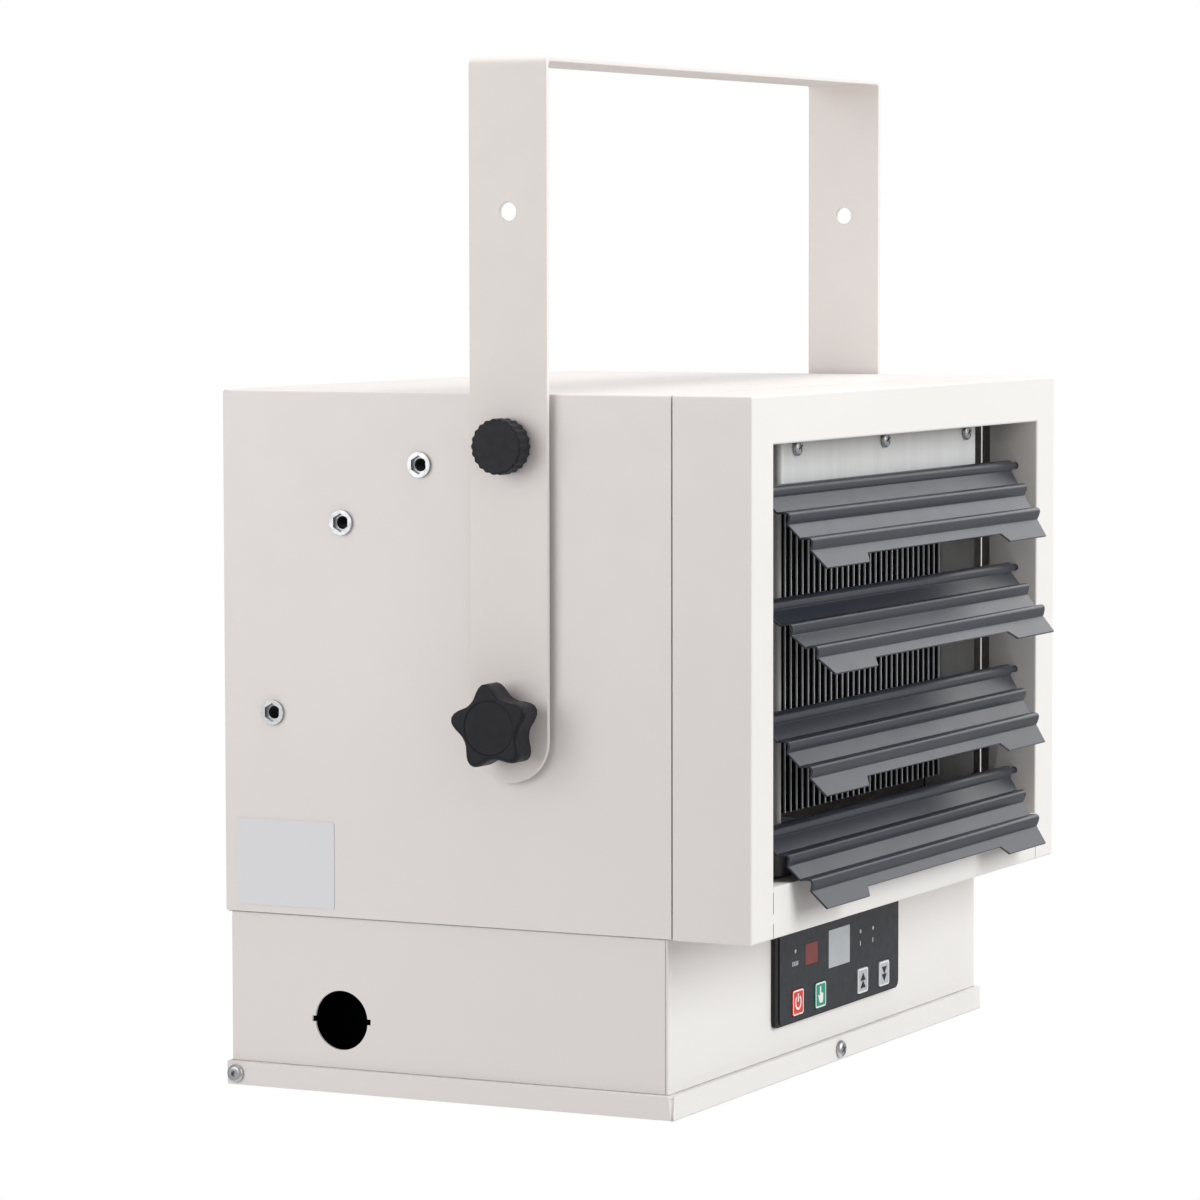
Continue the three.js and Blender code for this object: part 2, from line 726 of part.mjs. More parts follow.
// The cross wall that the shroud stands on, flanged back along the cabinet's sides.
function airBaffle() {
  const z = [deckZ + sheet + seatGap, topZ - sheet - seatGap];
  const x = [-innerX + sheet, innerX - sheet];
  const y = [baffleY, baffleY + floorFlange];
  const wall = sheetBox(x, y, z, shroudSheet, ['+y', '-z']);
  const hole = block(around(0, shroudWidth), grown(y, overcut), windowZ);
  return wall.subtract(hole);
}

function finnedElement() {
  const y = [faceY + finSetback, faceY + finSetback + finDepth];
  const top = windowZ[1] - finTopDrop;
  const z = [top - finHeight, top];
  const reach = shroudX - shroudSheet - slideGap;
  const count = 2 * Math.floor((reach - finThickness) / finPitch) + 1;
  const fins = [];
  for (let i = 0; i < count; i += 1) {
    const x = (i - (count - 1) / 2) * finPitch;
    fins.push(block(around(x, finThickness), y, z));
  }
  const rodDiameter = elementRodSize * Math.SQRT2;
  const rods = [];
  for (let i = 0; i < elementRodRows; i += 1) {
    const rodZ = z[0] + (finHeight * (i + 0.5)) / elementRodRows;
    rods.push(bar('x', rodDiameter, [(y[0] + y[1]) / 2, rodZ], [-reach, reach], 4));
  }
  return join([...fins, ...rods]);
}

// A pan-head screw along an axis, its head outwards from a face at the given distance.
function panScrew() {
  const r = screwHeadDiameter / 2;
  const shank = screwShankDiameter / 2;
  const profile = [
    [0, -screwShankLength], [shank, -screwShankLength], [shank, 0], [r, 0], [r, screwHeadHeight * 0.45],
    [r * 0.8, screwHeadHeight * 0.85], [r * 0.45, screwHeadHeight], [0, screwHeadHeight],
  ];
  return turned(profile, 'x', 14);
}

addPiece('heater_shroud', heaterShroud(), 'stainless');
addPiece('air_baffle', airBaffle(), 'galvanised');
addPiece('finned_element', finnedElement(), 'fins');

const screw = panScrew();
baffleScrewX.forEach((x, i) => {
  const head = addPiece(`shroud_screw_${i + 1}`, screw, 'zinc');
  head.position.set(x, shroudFaceY - seatGap, baffleScrewZ);
  head.rotation.z = -Math.PI / 2;
});

const cutoutX = baffleScrewSpacing / 2;
const cutoutY = [shroudFaceY + shroudSheet + seatGap, shroudFaceY + shroudSheet + seatGap + cutoutHeight];
const cutoutZ = windowZ[1] + cutoutDiameter;
addPiece('thermal_cutout', bar('y', cutoutDiameter, [cutoutX, cutoutZ], cutoutY, 20), 'electric');

// ---------------------------------------------------------------- fan and motor

const panelInY = rearY - sheet;
const hubY = [panelInY - fanSetback - fanHubLength, panelInY - fanSetback];
const mountY = hubY[0] - mountToHub;
const motorY = [mountY - seatGap - motorLength, mountY - seatGap];
const shaftHole = shaftDiameter + 2 * slideGap;

function fanMotor() {
  const r = motorDiameter / 2;
  const profile = [
    [0, motorY[0]], [r - motorCorner, motorY[0]], [r, motorY[0] + motorCorner],
    [r, motorY[1] - motorCorner], [r - motorCorner, motorY[1]], [0, motorY[1]],
  ];
  const body = turned(profile, 'y', 28).translate([0, 0, middleZ]);
  const socketY = [motorY[1] - shaftInMotor - slideGap, motorY[1] + overcut];
  return body.subtract(bar('y', shaftHole, [0, middleZ], socketY, 16));
}

function motorMount() {
  const legX = orificeDiameter / 2 + sheet + motorMountGap;
  const footY = panelInY - seatGap;
  const z = around(middleZ, motorMountHeight);
  const outerX = legX + motorMountSheet;
  const cross = block([-outerX, outerX], [mountY, mountY + motorMountSheet], z);
  const legs = sides.flatMap(([, sign]) => [
    block(around(sign * (legX + motorMountSheet / 2), motorMountSheet), [mountY, footY], z),
    block(around(sign * (legX + motorMountFoot / 2), motorMountFoot), [footY - motorMountSheet, footY], z),
  ]);
  const hole = bar('y', 2 * shaftHole, [0, middleZ], grown([mountY, mountY + motorMountSheet], overcut));
  return join([cross, ...legs]).subtract(hole);
}

function fanBlade() {
  const root = fanHubDiameter / 2;
  const tip = fanDiameter / 2;
  const half = bladeChord / 2;
  const outline = new THREE.Shape();
  outline.moveTo(root - bladeRootDepth, -half * 0.55);
  outline.quadraticCurveTo(tip * 0.7, -half * 1.1, tip * 0.97, -half * 0.85);
  outline.quadraticCurveTo(tip, 0, tip * 0.93, half);
  outline.quadraticCurveTo(tip * 0.6, half * 1.1, root - bladeRootDepth, half * 0.45);
  outline.closePath();
  const blade = extrude(outline, 'z', around(0, bladeSheet), 6);
  return blade.rotate([bladePitch, 0, 0]).rotate([90, 0, 0]);
}

function fanWheel() {
  const r = fanHubDiameter / 2;
  const profile = [
    [0, hubY[0]], [r, hubY[0]], [r, hubY[1] - hubCorner], [r - hubCorner, hubY[1]], [0, hubY[1]],
  ];
  const hub = turned(profile, 'y', 30);
  const middleY = (hubY[0] + hubY[1]) / 2;
  const blades = [];
  for (let i = 0; i < bladeCount; i += 1) {
    blades.push(fanBlade().rotate([0, (360 * i) / bladeCount, 0]).translate([0, middleY, 0]));
  }
  const boreY = [hubY[0] - overcut, hubY[0] + shaftInHub + slideGap];
  const bore = bar('y', shaftDiameter + 2 * seatGap, [0, 0], boreY, 16);
  const spoked = join([hub, ...blades]);
  const swept = bar('y', fanDiameter, [0, 0], [hubY[0] - bladeChord, hubY[1] + bladeChord], 60);
  return spoked.intersect(swept).subtract(bore).translate([0, 0, middleZ]);
}

function fanGuard() {
  const y = [rearY + seatGap, rearY + seatGap + guardWire];
  const z = middleZ;
  const outer = guardDiameter / 2;
  const inner = guardHubDiameter / 2;
  const rings = [bar('y', guardHubDiameter, [0, z], y, guardSteps)];
  for (let i = 1; i <= guardRings; i += 1) {
    const radius = inner + ((outer - inner) * i) / guardRings;
    const hole = bar('y', 2 * (radius - guardWire), [0, z], grown(y, overcut), guardSteps);
    rings.push(bar('y', 2 * radius, [0, z], y, guardSteps).subtract(hole));
  }
  const spokeEnd = Math.max(outer - guardWire / 2, orificeDiameter / 2 + sheet + guardSeat);
  const spokes = [];
  for (let i = 0; i < guardSpokes; i += 1) {
    const spoke = block([-spokeEnd, spokeEnd], y, around(0, guardWire));
    spokes.push(spoke.rotate([0, (180 * (i + 0.5)) / guardSpokes, 0]).translate([0, 0, z]));
  }
  return join([...rings, ...spokes]);
}

const shaftY = [motorY[1] - shaftInMotor, hubY[0] + shaftInHub];
addPiece('fan_motor', fanMotor(), 'motor');
addPiece('motor_mount', motorMount(), 'galvanised');
addPiece('motor_shaft', bar('y', shaftDiameter, [0, middleZ], shaftY, 16), 'zinc');
addPiece('fan_wheel', fanWheel(), 'fan');
addPiece('fan_guard', fanGuard(), 'guard');

// ---------------------------------------------------------------- control box

const boxX = sideX - boxInsetSide;
const boxFrontY = seamY + boxInsetFront;
const boxRearY = rearY - boxInsetRear;
const boxTopZ = deckZ - seatGap;
const trayTopZ = baseZ + sheet;
const keypadX = around(keypadOffset, keypadWidth);
const keypadZ = [boxTopZ - keypadTopGap - keypadHeight, boxTopZ - keypadTopGap];
const conduitZ = baseZ + conduitHoleRise;

const screwZ = baseZ + trayScrewRise;
const sideScrewY = rearY - trayScrewInset;

function trayScrewHoles() {
  const hole = screwShankDiameter + 2 * seatGap;
  const reach = screwShankLength + overcut;
  return [
    bar('y', hole, [keypadOffset, screwZ], [seamY - overcut, seamY + reach], 12),
    bar('x', hole, [sideScrewY, screwZ], [-sideX - overcut, -sideX + reach], 12),
  ];
}

function controlBox() {
  const [x, y] = [[-boxX, boxX], [boxFrontY, boxRearY]];
  const lipTopZ = baseZ + trayLip + slideGap;
  const upper = sheetBox(x, y, [lipTopZ, boxTopZ], sheet, ['-z', '+z']);
  const lowerZ = [trayTopZ + seatGap, lipTopZ + sheet];
  const lower = sheetBox(grown(x, -trayJoggle), grown(y, -trayJoggle), lowerZ, sheet, ['-z', '+z']);
  const frontY = grown([boxFrontY, boxFrontY + sheet], overcut);
  const keypadHole = block(grown(keypadX, -bezelLap), frontY, grown(keypadZ, -bezelLap));
  const wallX = grown([-boxX, -boxX + sheet], overcut);
  const conduit = bar('x', conduitHoleDiameter, [conduitHoleY, conduitZ], wallX, 32);
  const earLength = conduitHoleDiameter + 2 * conduitEarReach;
  const ears = block(wallX, around(conduitHoleY, earLength), around(conduitZ, conduitEarWidth));
  return cut(upper.add(lower), [keypadHole, conduit, ears, ...trayScrewHoles()]);
}

// The cover that closes the box from below, its lips outside the box walls.
function bottomTray() {
  const tray = sheetBox([-sideX, sideX], [seamY, rearY], [baseZ, baseZ + trayLip], sheet, ['+z']);
  return cut(tray, trayScrewHoles());
}

// A channel of insulating sheet that stands on the cover, round the inside of the conduit hole.
function insulationLiner() {
  const wallX = -boxX + trayJoggle + sheet + seatGap;
  const y = around(conduitHoleY, linerWidth);
  const z = [trayTopZ + seatGap, conduitZ + conduitHoleDiameter / 2 + linerRise];
  return sheetBox([wallX, wallX + linerDepth], y, z, linerSheet, ['-x', '-z', '+z']);
}

addPiece('control_box', controlBox(), 'cabinet');
addPiece('bottom_tray', bottomTray(), 'cabinet');
addPiece('insulation_liner', insulationLiner(), 'liner');

const terminalLeft = -boxX + sheet + terminalGap;
const terminalX = [terminalLeft, terminalLeft + terminalSize[0]];
const terminalZ = [boxTopZ - terminalSize[2], boxTopZ];
addPiece('terminal_block', block(terminalX, around(conduitHoleY, terminalSize[1]), terminalZ), 'terminal');
const contactorZ = [boxTopZ - contactorSize[2], boxTopZ];
const contactorX = around(0, contactorSize[0]);
const contactorY = around(conduitHoleY, contactorSize[1]);
addPiece('contactor', block(contactorX, contactorY, contactorZ), 'electric');

const trayScrews = [
  ['front', [keypadOffset, seamY - seatGap, screwZ], -Math.PI / 2],
  ['left', [-sideX - seatGap, sideScrewY, screwZ], Math.PI],
];
for (const [place, position, turn] of trayScrews) {
  const head = addPiece(`tray_screw_${place}`, screw, 'zinc');
  head.position.set(...position);
  head.rotation.z = turn;
}

// ---------------------------------------------------------------- keypad

const bezelY = [boxFrontY - seatGap - bezelProud, boxFrontY - seatGap];
const overlayY = [bezelY[0] - seatGap - overlayThickness, bezelY[0] - seatGap];
const boardY = [boxFrontY + boardStandoff, boxFrontY + boardStandoff + boardThickness];
const keyZ = keypadZ[0] + keyRise;
const keyXs = [-1, 1].flatMap((group) => [-0.5, 0.5].map((half) => (
  keypadOffset + keysOffset + group * keyGroupOffset + half * keyPitch)));
const displayZ = around(keypadZ[1] - displayDrop, displayHeight);
const irZ = around(keypadZ[1] - displayDrop + irLift, irHeight);
const displayX = around(keypadOffset, displayWidth);
const irX = around(keypadOffset + irOffset, irWidth);

function keypadWindows(y) {
  const keys = keyXs.map((x) => (
    block(grown(around(x, keyWidth), slideGap), y, grown(around(keyZ, keyHeight), slideGap))));
  return [
    block(grown(displayX, seatGap), y, grown(displayZ, seatGap)),
    block(grown(irX, seatGap), y, grown(irZ, seatGap)),
    ...keys,
  ];
}

function keypadBezel() {
  const plate = extrude(rectangle(keypadX, keypadZ, bezelCorner), 'y', bezelY, 5);
  const posts = [];
  const postY = [bezelY[1] - overcut, boardY[0] - seatGap];
  for (const x of grown(keypadX, -postInset)) {
    for (const z of grown(keypadZ, -postInset)) posts.push(bar('y', postDiameter, [x, z], postY, 12));
  }
  return cut(join([plate, ...posts]), keypadWindows(grown(bezelY, overcut)));
}

function keypadOverlay() {
  const x = [keypadX[0] + bezelRim, keypadX[1] - overlayEndGap];
  const film = extrude(rectangle(x, grown(keypadZ, -overlayEdgeGap), bezelCorner), 'y', overlayY, 5);
  return cut(film, keypadWindows(grown(overlayY, overcut)));
}

addPiece('keypad_bezel', keypadBezel(), 'bezel');
addPiece('keypad_overlay', keypadOverlay(), 'overlay');
addPiece('display_window', block(displayX, [overlayY[0], boardY[0] - seatGap], displayZ), 'display');
addPiece('infrared_window', block(irX, [overlayY[0], boardY[0] - seatGap], irZ), 'infrared');
addPiece('circuit_board', block(grown(keypadX, -boardInset), boardY, grown(keypadZ, -boardInset)), 'board');

const keyNames = [['power', 'red'], ['manual', 'green'], ['up', 'grey'], ['down', 'grey']];
keyNames.forEach(([name, colour], i) => {
  const y = [overlayY[0] - keyProud, boardY[0] - keyTravel - slideGap];
  const face = rectangle(around(keyXs[i], keyWidth), around(keyZ, keyHeight), keyCorner);
  addPiece(`button_${name}`, extrude(face, 'y', y, 3), colour);
});

export default heater;
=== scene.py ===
# %% [markdown]
# # A ceiling fan heater in sheet steel
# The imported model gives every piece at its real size. This lesson dresses those pieces:
# folded sheet gets soft edges and powder coat, mouldings get rounded corners, and the small
# things that the eye looks for, such as screw recesses and printed keys, are modelled.

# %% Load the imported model
import json
import math

import bmesh
import bpy
from mathutils import Matrix, Vector


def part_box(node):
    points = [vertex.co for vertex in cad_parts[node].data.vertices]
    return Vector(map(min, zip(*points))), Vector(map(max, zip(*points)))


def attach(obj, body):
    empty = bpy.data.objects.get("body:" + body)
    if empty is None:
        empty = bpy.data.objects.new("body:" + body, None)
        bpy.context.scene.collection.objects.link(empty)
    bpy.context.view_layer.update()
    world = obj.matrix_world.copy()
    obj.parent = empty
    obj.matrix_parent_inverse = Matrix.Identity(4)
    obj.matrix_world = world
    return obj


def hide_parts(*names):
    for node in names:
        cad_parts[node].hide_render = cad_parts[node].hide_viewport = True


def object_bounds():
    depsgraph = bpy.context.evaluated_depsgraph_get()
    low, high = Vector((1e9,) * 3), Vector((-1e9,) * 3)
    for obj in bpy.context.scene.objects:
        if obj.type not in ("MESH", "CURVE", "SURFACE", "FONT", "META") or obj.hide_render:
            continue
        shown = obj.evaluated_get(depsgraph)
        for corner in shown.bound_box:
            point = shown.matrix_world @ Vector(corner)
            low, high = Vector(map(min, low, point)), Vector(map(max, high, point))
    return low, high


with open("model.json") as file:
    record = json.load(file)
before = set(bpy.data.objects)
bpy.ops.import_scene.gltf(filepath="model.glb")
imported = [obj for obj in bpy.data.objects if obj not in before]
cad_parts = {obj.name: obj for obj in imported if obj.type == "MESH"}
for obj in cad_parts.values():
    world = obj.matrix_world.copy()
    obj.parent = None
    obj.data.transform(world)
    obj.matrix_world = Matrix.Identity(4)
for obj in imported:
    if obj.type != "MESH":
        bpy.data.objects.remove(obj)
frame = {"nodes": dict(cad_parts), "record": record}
cad_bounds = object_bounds()
MM = 0.001
print("nodes:", len(frame["nodes"]), "box:", cad_bounds)

# %% [markdown]
# ## The camera
# The view is a long lens a little above the middle of the cabinet, turned well round to the
# left side. A long lens is the right choice for a product shot, because the parallel edges of
# the box then converge only a little.

# %% Place the camera
VIEW_AZIMUTH = math.radians(-63.661)
VIEW_ELEVATION = math.radians(4.103)
VIEW_ROLL = math.radians(-0.091)
CAMERA_PLACE = Vector((-2.1898, -1.0353, -0.0868))
LENS = 147.51
SENSOR = 36.0


def camera_axes(azimuth, elevation, roll):
    """The camera's own right, up and back directions."""
    back = Vector((
        math.sin(azimuth) * math.cos(elevation),
        -math.cos(azimuth) * math.cos(elevation),
        math.sin(elevation),
    ))
    level_right = (-back).cross(Vector((0, 0, 1))).normalized()
    level_up = level_right.cross(-back)
    right = level_right * math.cos(roll) + level_up * math.sin(roll)
    up = level_up * math.cos(roll) - level_right * math.sin(roll)
    return right, up, back


camera_data = bpy.data.cameras.new("camera")
camera_data.lens = LENS
camera_data.sensor_width = SENSOR
camera_data.sensor_fit = "HORIZONTAL"
camera_data.clip_end = 50
camera = bpy.data.objects.new("camera", camera_data)
bpy.context.scene.collection.objects.link(camera)
axes = camera_axes(VIEW_AZIMUTH, VIEW_ELEVATION, VIEW_ROLL)
camera.matrix_world = Matrix.Translation(CAMERA_PLACE) @ Matrix(axes).transposed().to_4x4()
bpy.context.scene.camera = camera
print("camera at", tuple(round(x, 3) for x in camera.location))

# %% [markdown]
# ## Light
# White enamel on a white ground needs a trick: the ground has to stay pure white while the
# box keeps its shading. So the world shows white to the camera, but lights the scene with a
# dimmer room, and large soft lamps set the front, the top and the sides to their own levels.

# %% Set the world and the lamps
ROOM_STRENGTH = 0.5
ROOM_TINT = (1.0, 0.985, 0.975, 1)


def add_lamp(name, place, target, size, power, tint=(1, 1, 1)):
    """A square area lamp that faces its target."""
    data = bpy.data.lights.new(name, "AREA")
    data.size = size
    data.energy = power
    data.color = tint
    lamp = bpy.data.objects.new(name, data)
    lamp.location = place
    aim = Vector(target) - Vector(place)
    lamp.rotation_euler = aim.to_track_quat("-Z", "Y").to_euler()
    lamp.visible_camera = False
    bpy.context.scene.collection.objects.link(lamp)


world = bpy.data.worlds.new("studio")
world.use_nodes = True
studio = world.node_tree
room = studio.nodes["Background"]
room.inputs["Color"].default_value = ROOM_TINT
room.inputs["Strength"].default_value = ROOM_STRENGTH
backdrop = studio.nodes.new("ShaderNodeBackground")
backdrop.inputs["Color"].default_value = (1, 1, 1, 1)
ray = studio.nodes.new("ShaderNodeLightPath")
choice = studio.nodes.new("ShaderNodeMixShader")
studio.links.new(ray.outputs["Is Camera Ray"], choice.inputs[0])
studio.links.new(room.outputs[0], choice.inputs[1])
studio.links.new(backdrop.outputs[0], choice.inputs[2])
studio.links.new(choice.outputs[0], studio.nodes["World Output"].inputs["Surface"])
bpy.context.scene.world = world
bpy.context.scene.view_settings.view_transform = "Standard"
MIDDLE = (0, 0, -0.28)
COOL = (0.925, 0.987, 1.0)
add_lamp("front_softbox", (0.2, -2.6, 0.8), MIDDLE, 1.9, 61, COOL)
add_lamp("side_softbox", (-1.2, 0.5, 0.02), MIDDLE, 0.85, 5.9)
add_lamp("top_softbox", (0.25, -0.4, 2.2), MIDDLE, 1.5, 47)
add_lamp("right_softbox", (2.2, -0.35, 0.75), MIDDLE, 1.2, 6.5)

# %% [markdown]
# ## Floor
# The heater hangs, so the floor lies some way under it and takes only a faint, wide shade. It
# fades to nothing at its rim, and no horizon shows.

# %% Make the floor
FLOOR_DROP = 0.5
FLOOR_RADIUS = 2.6
FADE_START = 0.3
FADE_END = 1.2


def make_floor():
    """A round floor under the heater."""
    bm = bmesh.new()
    bmesh.ops.create_circle(bm, cap_ends=True, segments=96, radius=FLOOR_RADIUS)
    bmesh.ops.translate(bm, verts=bm.verts, vec=(0, 0, cad_bounds[0][2] - FLOOR_DROP))
    mesh = bpy.data.meshes.new("floor")
    bm.to_mesh(mesh)
    bm.free()
    floor = bpy.data.objects.new("floor", mesh)
    bpy.context.scene.collection.objects.link(floor)
    return floor


def floor_material():
    """Matt white that thins out with the distance from the middle."""
    material = bpy.data.materials.new("pale_floor")
    material.use_nodes = True
    nodes, links = material.node_tree.nodes, material.node_tree.links
    shader = nodes["Principled BSDF"]
    shader.inputs["Base Color"].default_value = (0.92, 0.92, 0.92, 1)
    shader.inputs["Roughness"].default_value = 0.9
    place = nodes.new("ShaderNodeTexCoord")
    flat = nodes.new("ShaderNodeVectorMath")
    flat.operation = "MULTIPLY"
    flat.inputs[1].default_value = (1, 1, 0)
    distance = nodes.new("ShaderNodeVectorMath")
    distance.operation = "LENGTH"
    fade = nodes.new("ShaderNodeMapRange")
    fade.interpolation_type = "SMOOTHERSTEP"
    fade.inputs["From Min"].default_value = FADE_START
    fade.inputs["From Max"].default_value = FADE_END
    fade.inputs["To Min"].default_value = 1
    fade.inputs["To Max"].default_value = 0
    links.new(place.outputs["Object"], flat.inputs[0])
    links.new(flat.outputs[0], distance.inputs[0])
    links.new(distance.outputs["Value"], fade.inputs["Value"])
    links.new(fade.outputs["Result"], shader.inputs["Alpha"])
    return material


floor = make_floor()
floor.data.materials.append(floor_material())

# %% [markdown]
# ## Finishes
# Every finish is a small recipe of noise on Object coordinates, so a grain keeps its real
# size on every piece. Powder coat is the main one: it is never quite flat, but has a fine
# orange-peel ripple and tiny differences of tone that keep a white panel from looking empty.

# %% Finish helpers


class Finish:
    """A Principled material with short calls for the noise, bump and tone that surfaces need."""

    def __init__(self, name, colour, roughness, metallic=0.0, specular=0.5):
        self.material = bpy.data.materials.new(name)
        self.material.use_nodes = True
        self.nodes = self.material.node_tree.nodes
        self.links = self.material.node_tree.links
        self.shader = self.nodes["Principled BSDF"]
        self.colour = colour
        self.shader.inputs["Base Color"].default_value = (*colour, 1)
        self.shader.inputs["Roughness"].default_value = roughness
        self.shader.inputs["Metallic"].default_value = metallic
        self.shader.inputs["Specular IOR Level"].default_value = specular
        self.place = self.nodes.new("ShaderNodeTexCoord")
        self.normal = None

    def noise(self, scale, detail=2.0, stretch=None):
        """Noise on Object coordinates: scale in features per metre, stretch squeezes an axis."""
        texture = self.nodes.new("ShaderNodeTexNoise")
        texture.inputs["Scale"].default_value = scale
        texture.inputs["Detail"].default_value = detail
        source = self.place.outputs["Object"]
        if stretch:
            mapping = self.nodes.new("ShaderNodeMapping")
            mapping.inputs["Scale"].default_value = stretch
            self.links.new(source, mapping.inputs["Vector"])
            source = mapping.outputs["Vector"]
        self.links.new(source, texture.inputs["Vector"])
        return texture.outputs["Fac"]

    def depth_step(self, low, high):
        """Goes from 0 to 1 between two places on the front to back axis, in metres."""
        split = self.nodes.new("ShaderNodeSeparateXYZ")
        step = self.nodes.new("ShaderNodeMapRange")
        step.inputs["From Min"].default_value = low
        step.inputs["From Max"].default_value = high
        self.links.new(self.place.outputs["Object"], split.inputs["Vector"])
        self.links.new(split.outputs["Y"], step.inputs["Value"])
        return step.outputs["Result"]

    def blend(self, value, first, second, low=0.0, high=1.0):
        """Sets the colour between two by a value."""
        ramp = self.nodes.new("ShaderNodeValToRGB")
        ramp.color_ramp.elements[0].position = low
        ramp.color_ramp.elements[1].position = high
        ramp.color_ramp.elements[0].color = (*first, 1)
        ramp.color_ramp.elements[1].color = (*second, 1)
        self.links.new(value, ramp.inputs["Fac"])
        self.links.new(ramp.outputs["Color"], self.shader.inputs["Base Color"])

    def tone(self, value, spread):
        """Lets the colour drift by a share of itself with the noise value."""
        dark = [c * (1 - spread) for c in self.colour]
        light = [min(1, c * (1 + spread)) for c in self.colour]
        self.blend(value, dark, light, 0.3, 0.7)

    def vary(self, socket, value, low, high):
        """Drives a socket such as Roughness between two values by the noise."""
        span = self.nodes.new("ShaderNodeMapRange")
        span.inputs["From Min"].default_value = 0.3
        span.inputs["From Max"].default_value = 0.7
        span.inputs["To Min"].default_value = low
        span.inputs["To Max"].default_value = high
        self.links.new(value, span.inputs["Value"])
        self.links.new(span.outputs["Result"], self.shader.inputs[socket])

    def bump(self, value, height):
        """Raises the surface by the noise, height in metres. Calls add up."""
        ripple = self.nodes.new("ShaderNodeBump")
        ripple.inputs["Strength"].default_value = 1.0
        ripple.inputs["Distance"].default_value = height
        self.links.new(value, ripple.inputs["Height"])
        if self.normal:
            self.links.new(self.normal, ripple.inputs["Normal"])
        self.normal = ripple.outputs["Normal"]
        self.links.new(self.normal, self.shader.inputs["Normal"])


def powder_coat(name, colour, roughness, peel, drift=0.04):
    finish = Finish(name, colour, roughness)
    finish.tone(finish.noise(7, 3), 0.012)
    finish.vary("Roughness", finish.noise(60, 2), roughness - drift, roughness + drift)
    finish.bump(finish.noise(520, 1), peel)
    finish.bump(finish.noise(2600, 1), peel * 0.12)
    return finish.material


def plated(name, colour, roughness, streak=None, metallic=1.0):
    finish = Finish(name, colour, roughness, metallic)
    finish.tone(finish.noise(90, 3, streak), 0.06)
    finish.vary("Roughness", finish.noise(400, 2, streak), roughness - 0.07, roughness + 0.09)
    finish.bump(finish.noise(1500, 2, streak), 0.000012)
    return finish.material


def moulded(name, colour, roughness, grain=0.00003, scale=2200, specular=0.5):
    finish = Finish(name, colour, roughness, specular=specular)
    finish.tone(finish.noise(40, 2), 0.06)
    finish.vary("Roughness", finish.noise(200, 2), roughness - 0.05, roughness + 0.06)
    finish.bump(finish.noise(scale, 2), grain)
    return finish.material


def fins_with_painted_light(name, edge, depth, front, back):
    """Fins in near black, which is painted shade for the narrow gaps between them, with a painted
    highlight on their front edges.
    """
    finish = Finish(name, depth, 0.45, specular=0.3)
    finish.blend(finish.depth_step(front, back), edge, depth)
    finish.bump(finish.noise(900, 2), 0.00001)
    return finish.material


# %% Mix the finishes
OFF_WHITE = (0.745, 0.708, 0.686)
BRUSHED_UPRIGHT = (1, 1, 0.03)
FIN_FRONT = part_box("finned_element")[0][1]
finishes = {
    "cabinet_paint": powder_coat("cabinet_paint", OFF_WHITE, 0.42, 0.00003),
    "strap_paint": powder_coat("strap_paint", (0.738, 0.69, 0.669), 0.42, 0.00003),
    "louvre_paint": powder_coat("louvre_paint", (0.024, 0.027, 0.037), 0.33, 0.00002, 0.012),
    # black enamel; on the air baffle deep in the outlet this black is painted shade, where the
    # steel lies in shadow
    "black_enamel": moulded("black_enamel", (0.012, 0.012, 0.013), 0.55, specular=0.2),
    # the fins' near-black sides are painted shade between the close fins, and their bright fronts
    # a painted highlight
    "black_fins": fins_with_painted_light("black_fins", (0.8, 0.8, 0.82), (0.01, 0.01, 0.011),
                             FIN_FRONT + 0.3 * MM, FIN_FRONT + 0.9 * MM),
    "galvanised_steel": plated("galvanised_steel", (0.46, 0.48, 0.5), 0.42),
    "stainless_steel": plated("stainless_steel", (0.61, 0.6, 0.59), 0.42, BRUSHED_UPRIGHT, 0.15),
    "zinc_steel": plated("zinc_steel", (0.46, 0.47, 0.48), 0.38),
    "fan_aluminium": plated("fan_aluminium", (0.6, 0.62, 0.64), 0.33),
    "knob_plastic": moulded("knob_plastic", (0.01, 0.0105, 0.015), 0.48, specular=0.22),
    "black_bezel": moulded("black_bezel", (0.008, 0.008, 0.009), 0.42, specular=0.3),
    # the insulation liner is a real part, but its near pure black is painted shade for the dark
    # inside the control box seen through the conduit hole
    "black_liner": moulded("black_liner", (0.004, 0.004, 0.004), 0.95, specular=0.1),
    "black_phenolic": moulded("black_phenolic", (0.03, 0.03, 0.032), 0.6),
    "ivory_plastic": moulded("ivory_plastic", (0.68, 0.63, 0.52), 0.5),
    "grey_film": moulded("grey_film", (0.021, 0.0225, 0.028), 0.4, 0.00001, 3000, 0.3),
    "display_grey": moulded("display_grey", (0.4, 0.41, 0.43), 0.35, 0.000001, 300),
    "infrared_red": moulded("infrared_red", (0.17, 0.025, 0.02), 0.35, 0.0000005, 300),
    "key_red": moulded("key_red", (0.6, 0.03, 0.02), 0.42, 0.000008, 3000),
    "key_green": moulded("key_green", (0.006, 0.25, 0.16), 0.42, 0.000008, 3000),
    "key_grey": moulded("key_grey", (0.4, 0.42, 0.44), 0.42, 0.000008, 3000),
    "board_green": moulded("board_green", (0.02, 0.11, 0.05), 0.4),
    "foil_label": powder_coat("foil_label", (0.7, 0.705, 0.725), 0.5, 0.0000005),
}
slot_of = {row["node"]: row["material_slot"] for row in frame["record"]["subparts"]}
body_of = {n: b for b, members in frame["record"]["behaviour"]["bodies"].items() for n in members}
for name, node in frame["nodes"].items():
    node.data.materials.clear()
    node.data.materials.append(finishes[slot_of[name]])
print("finishes:", len(finishes))

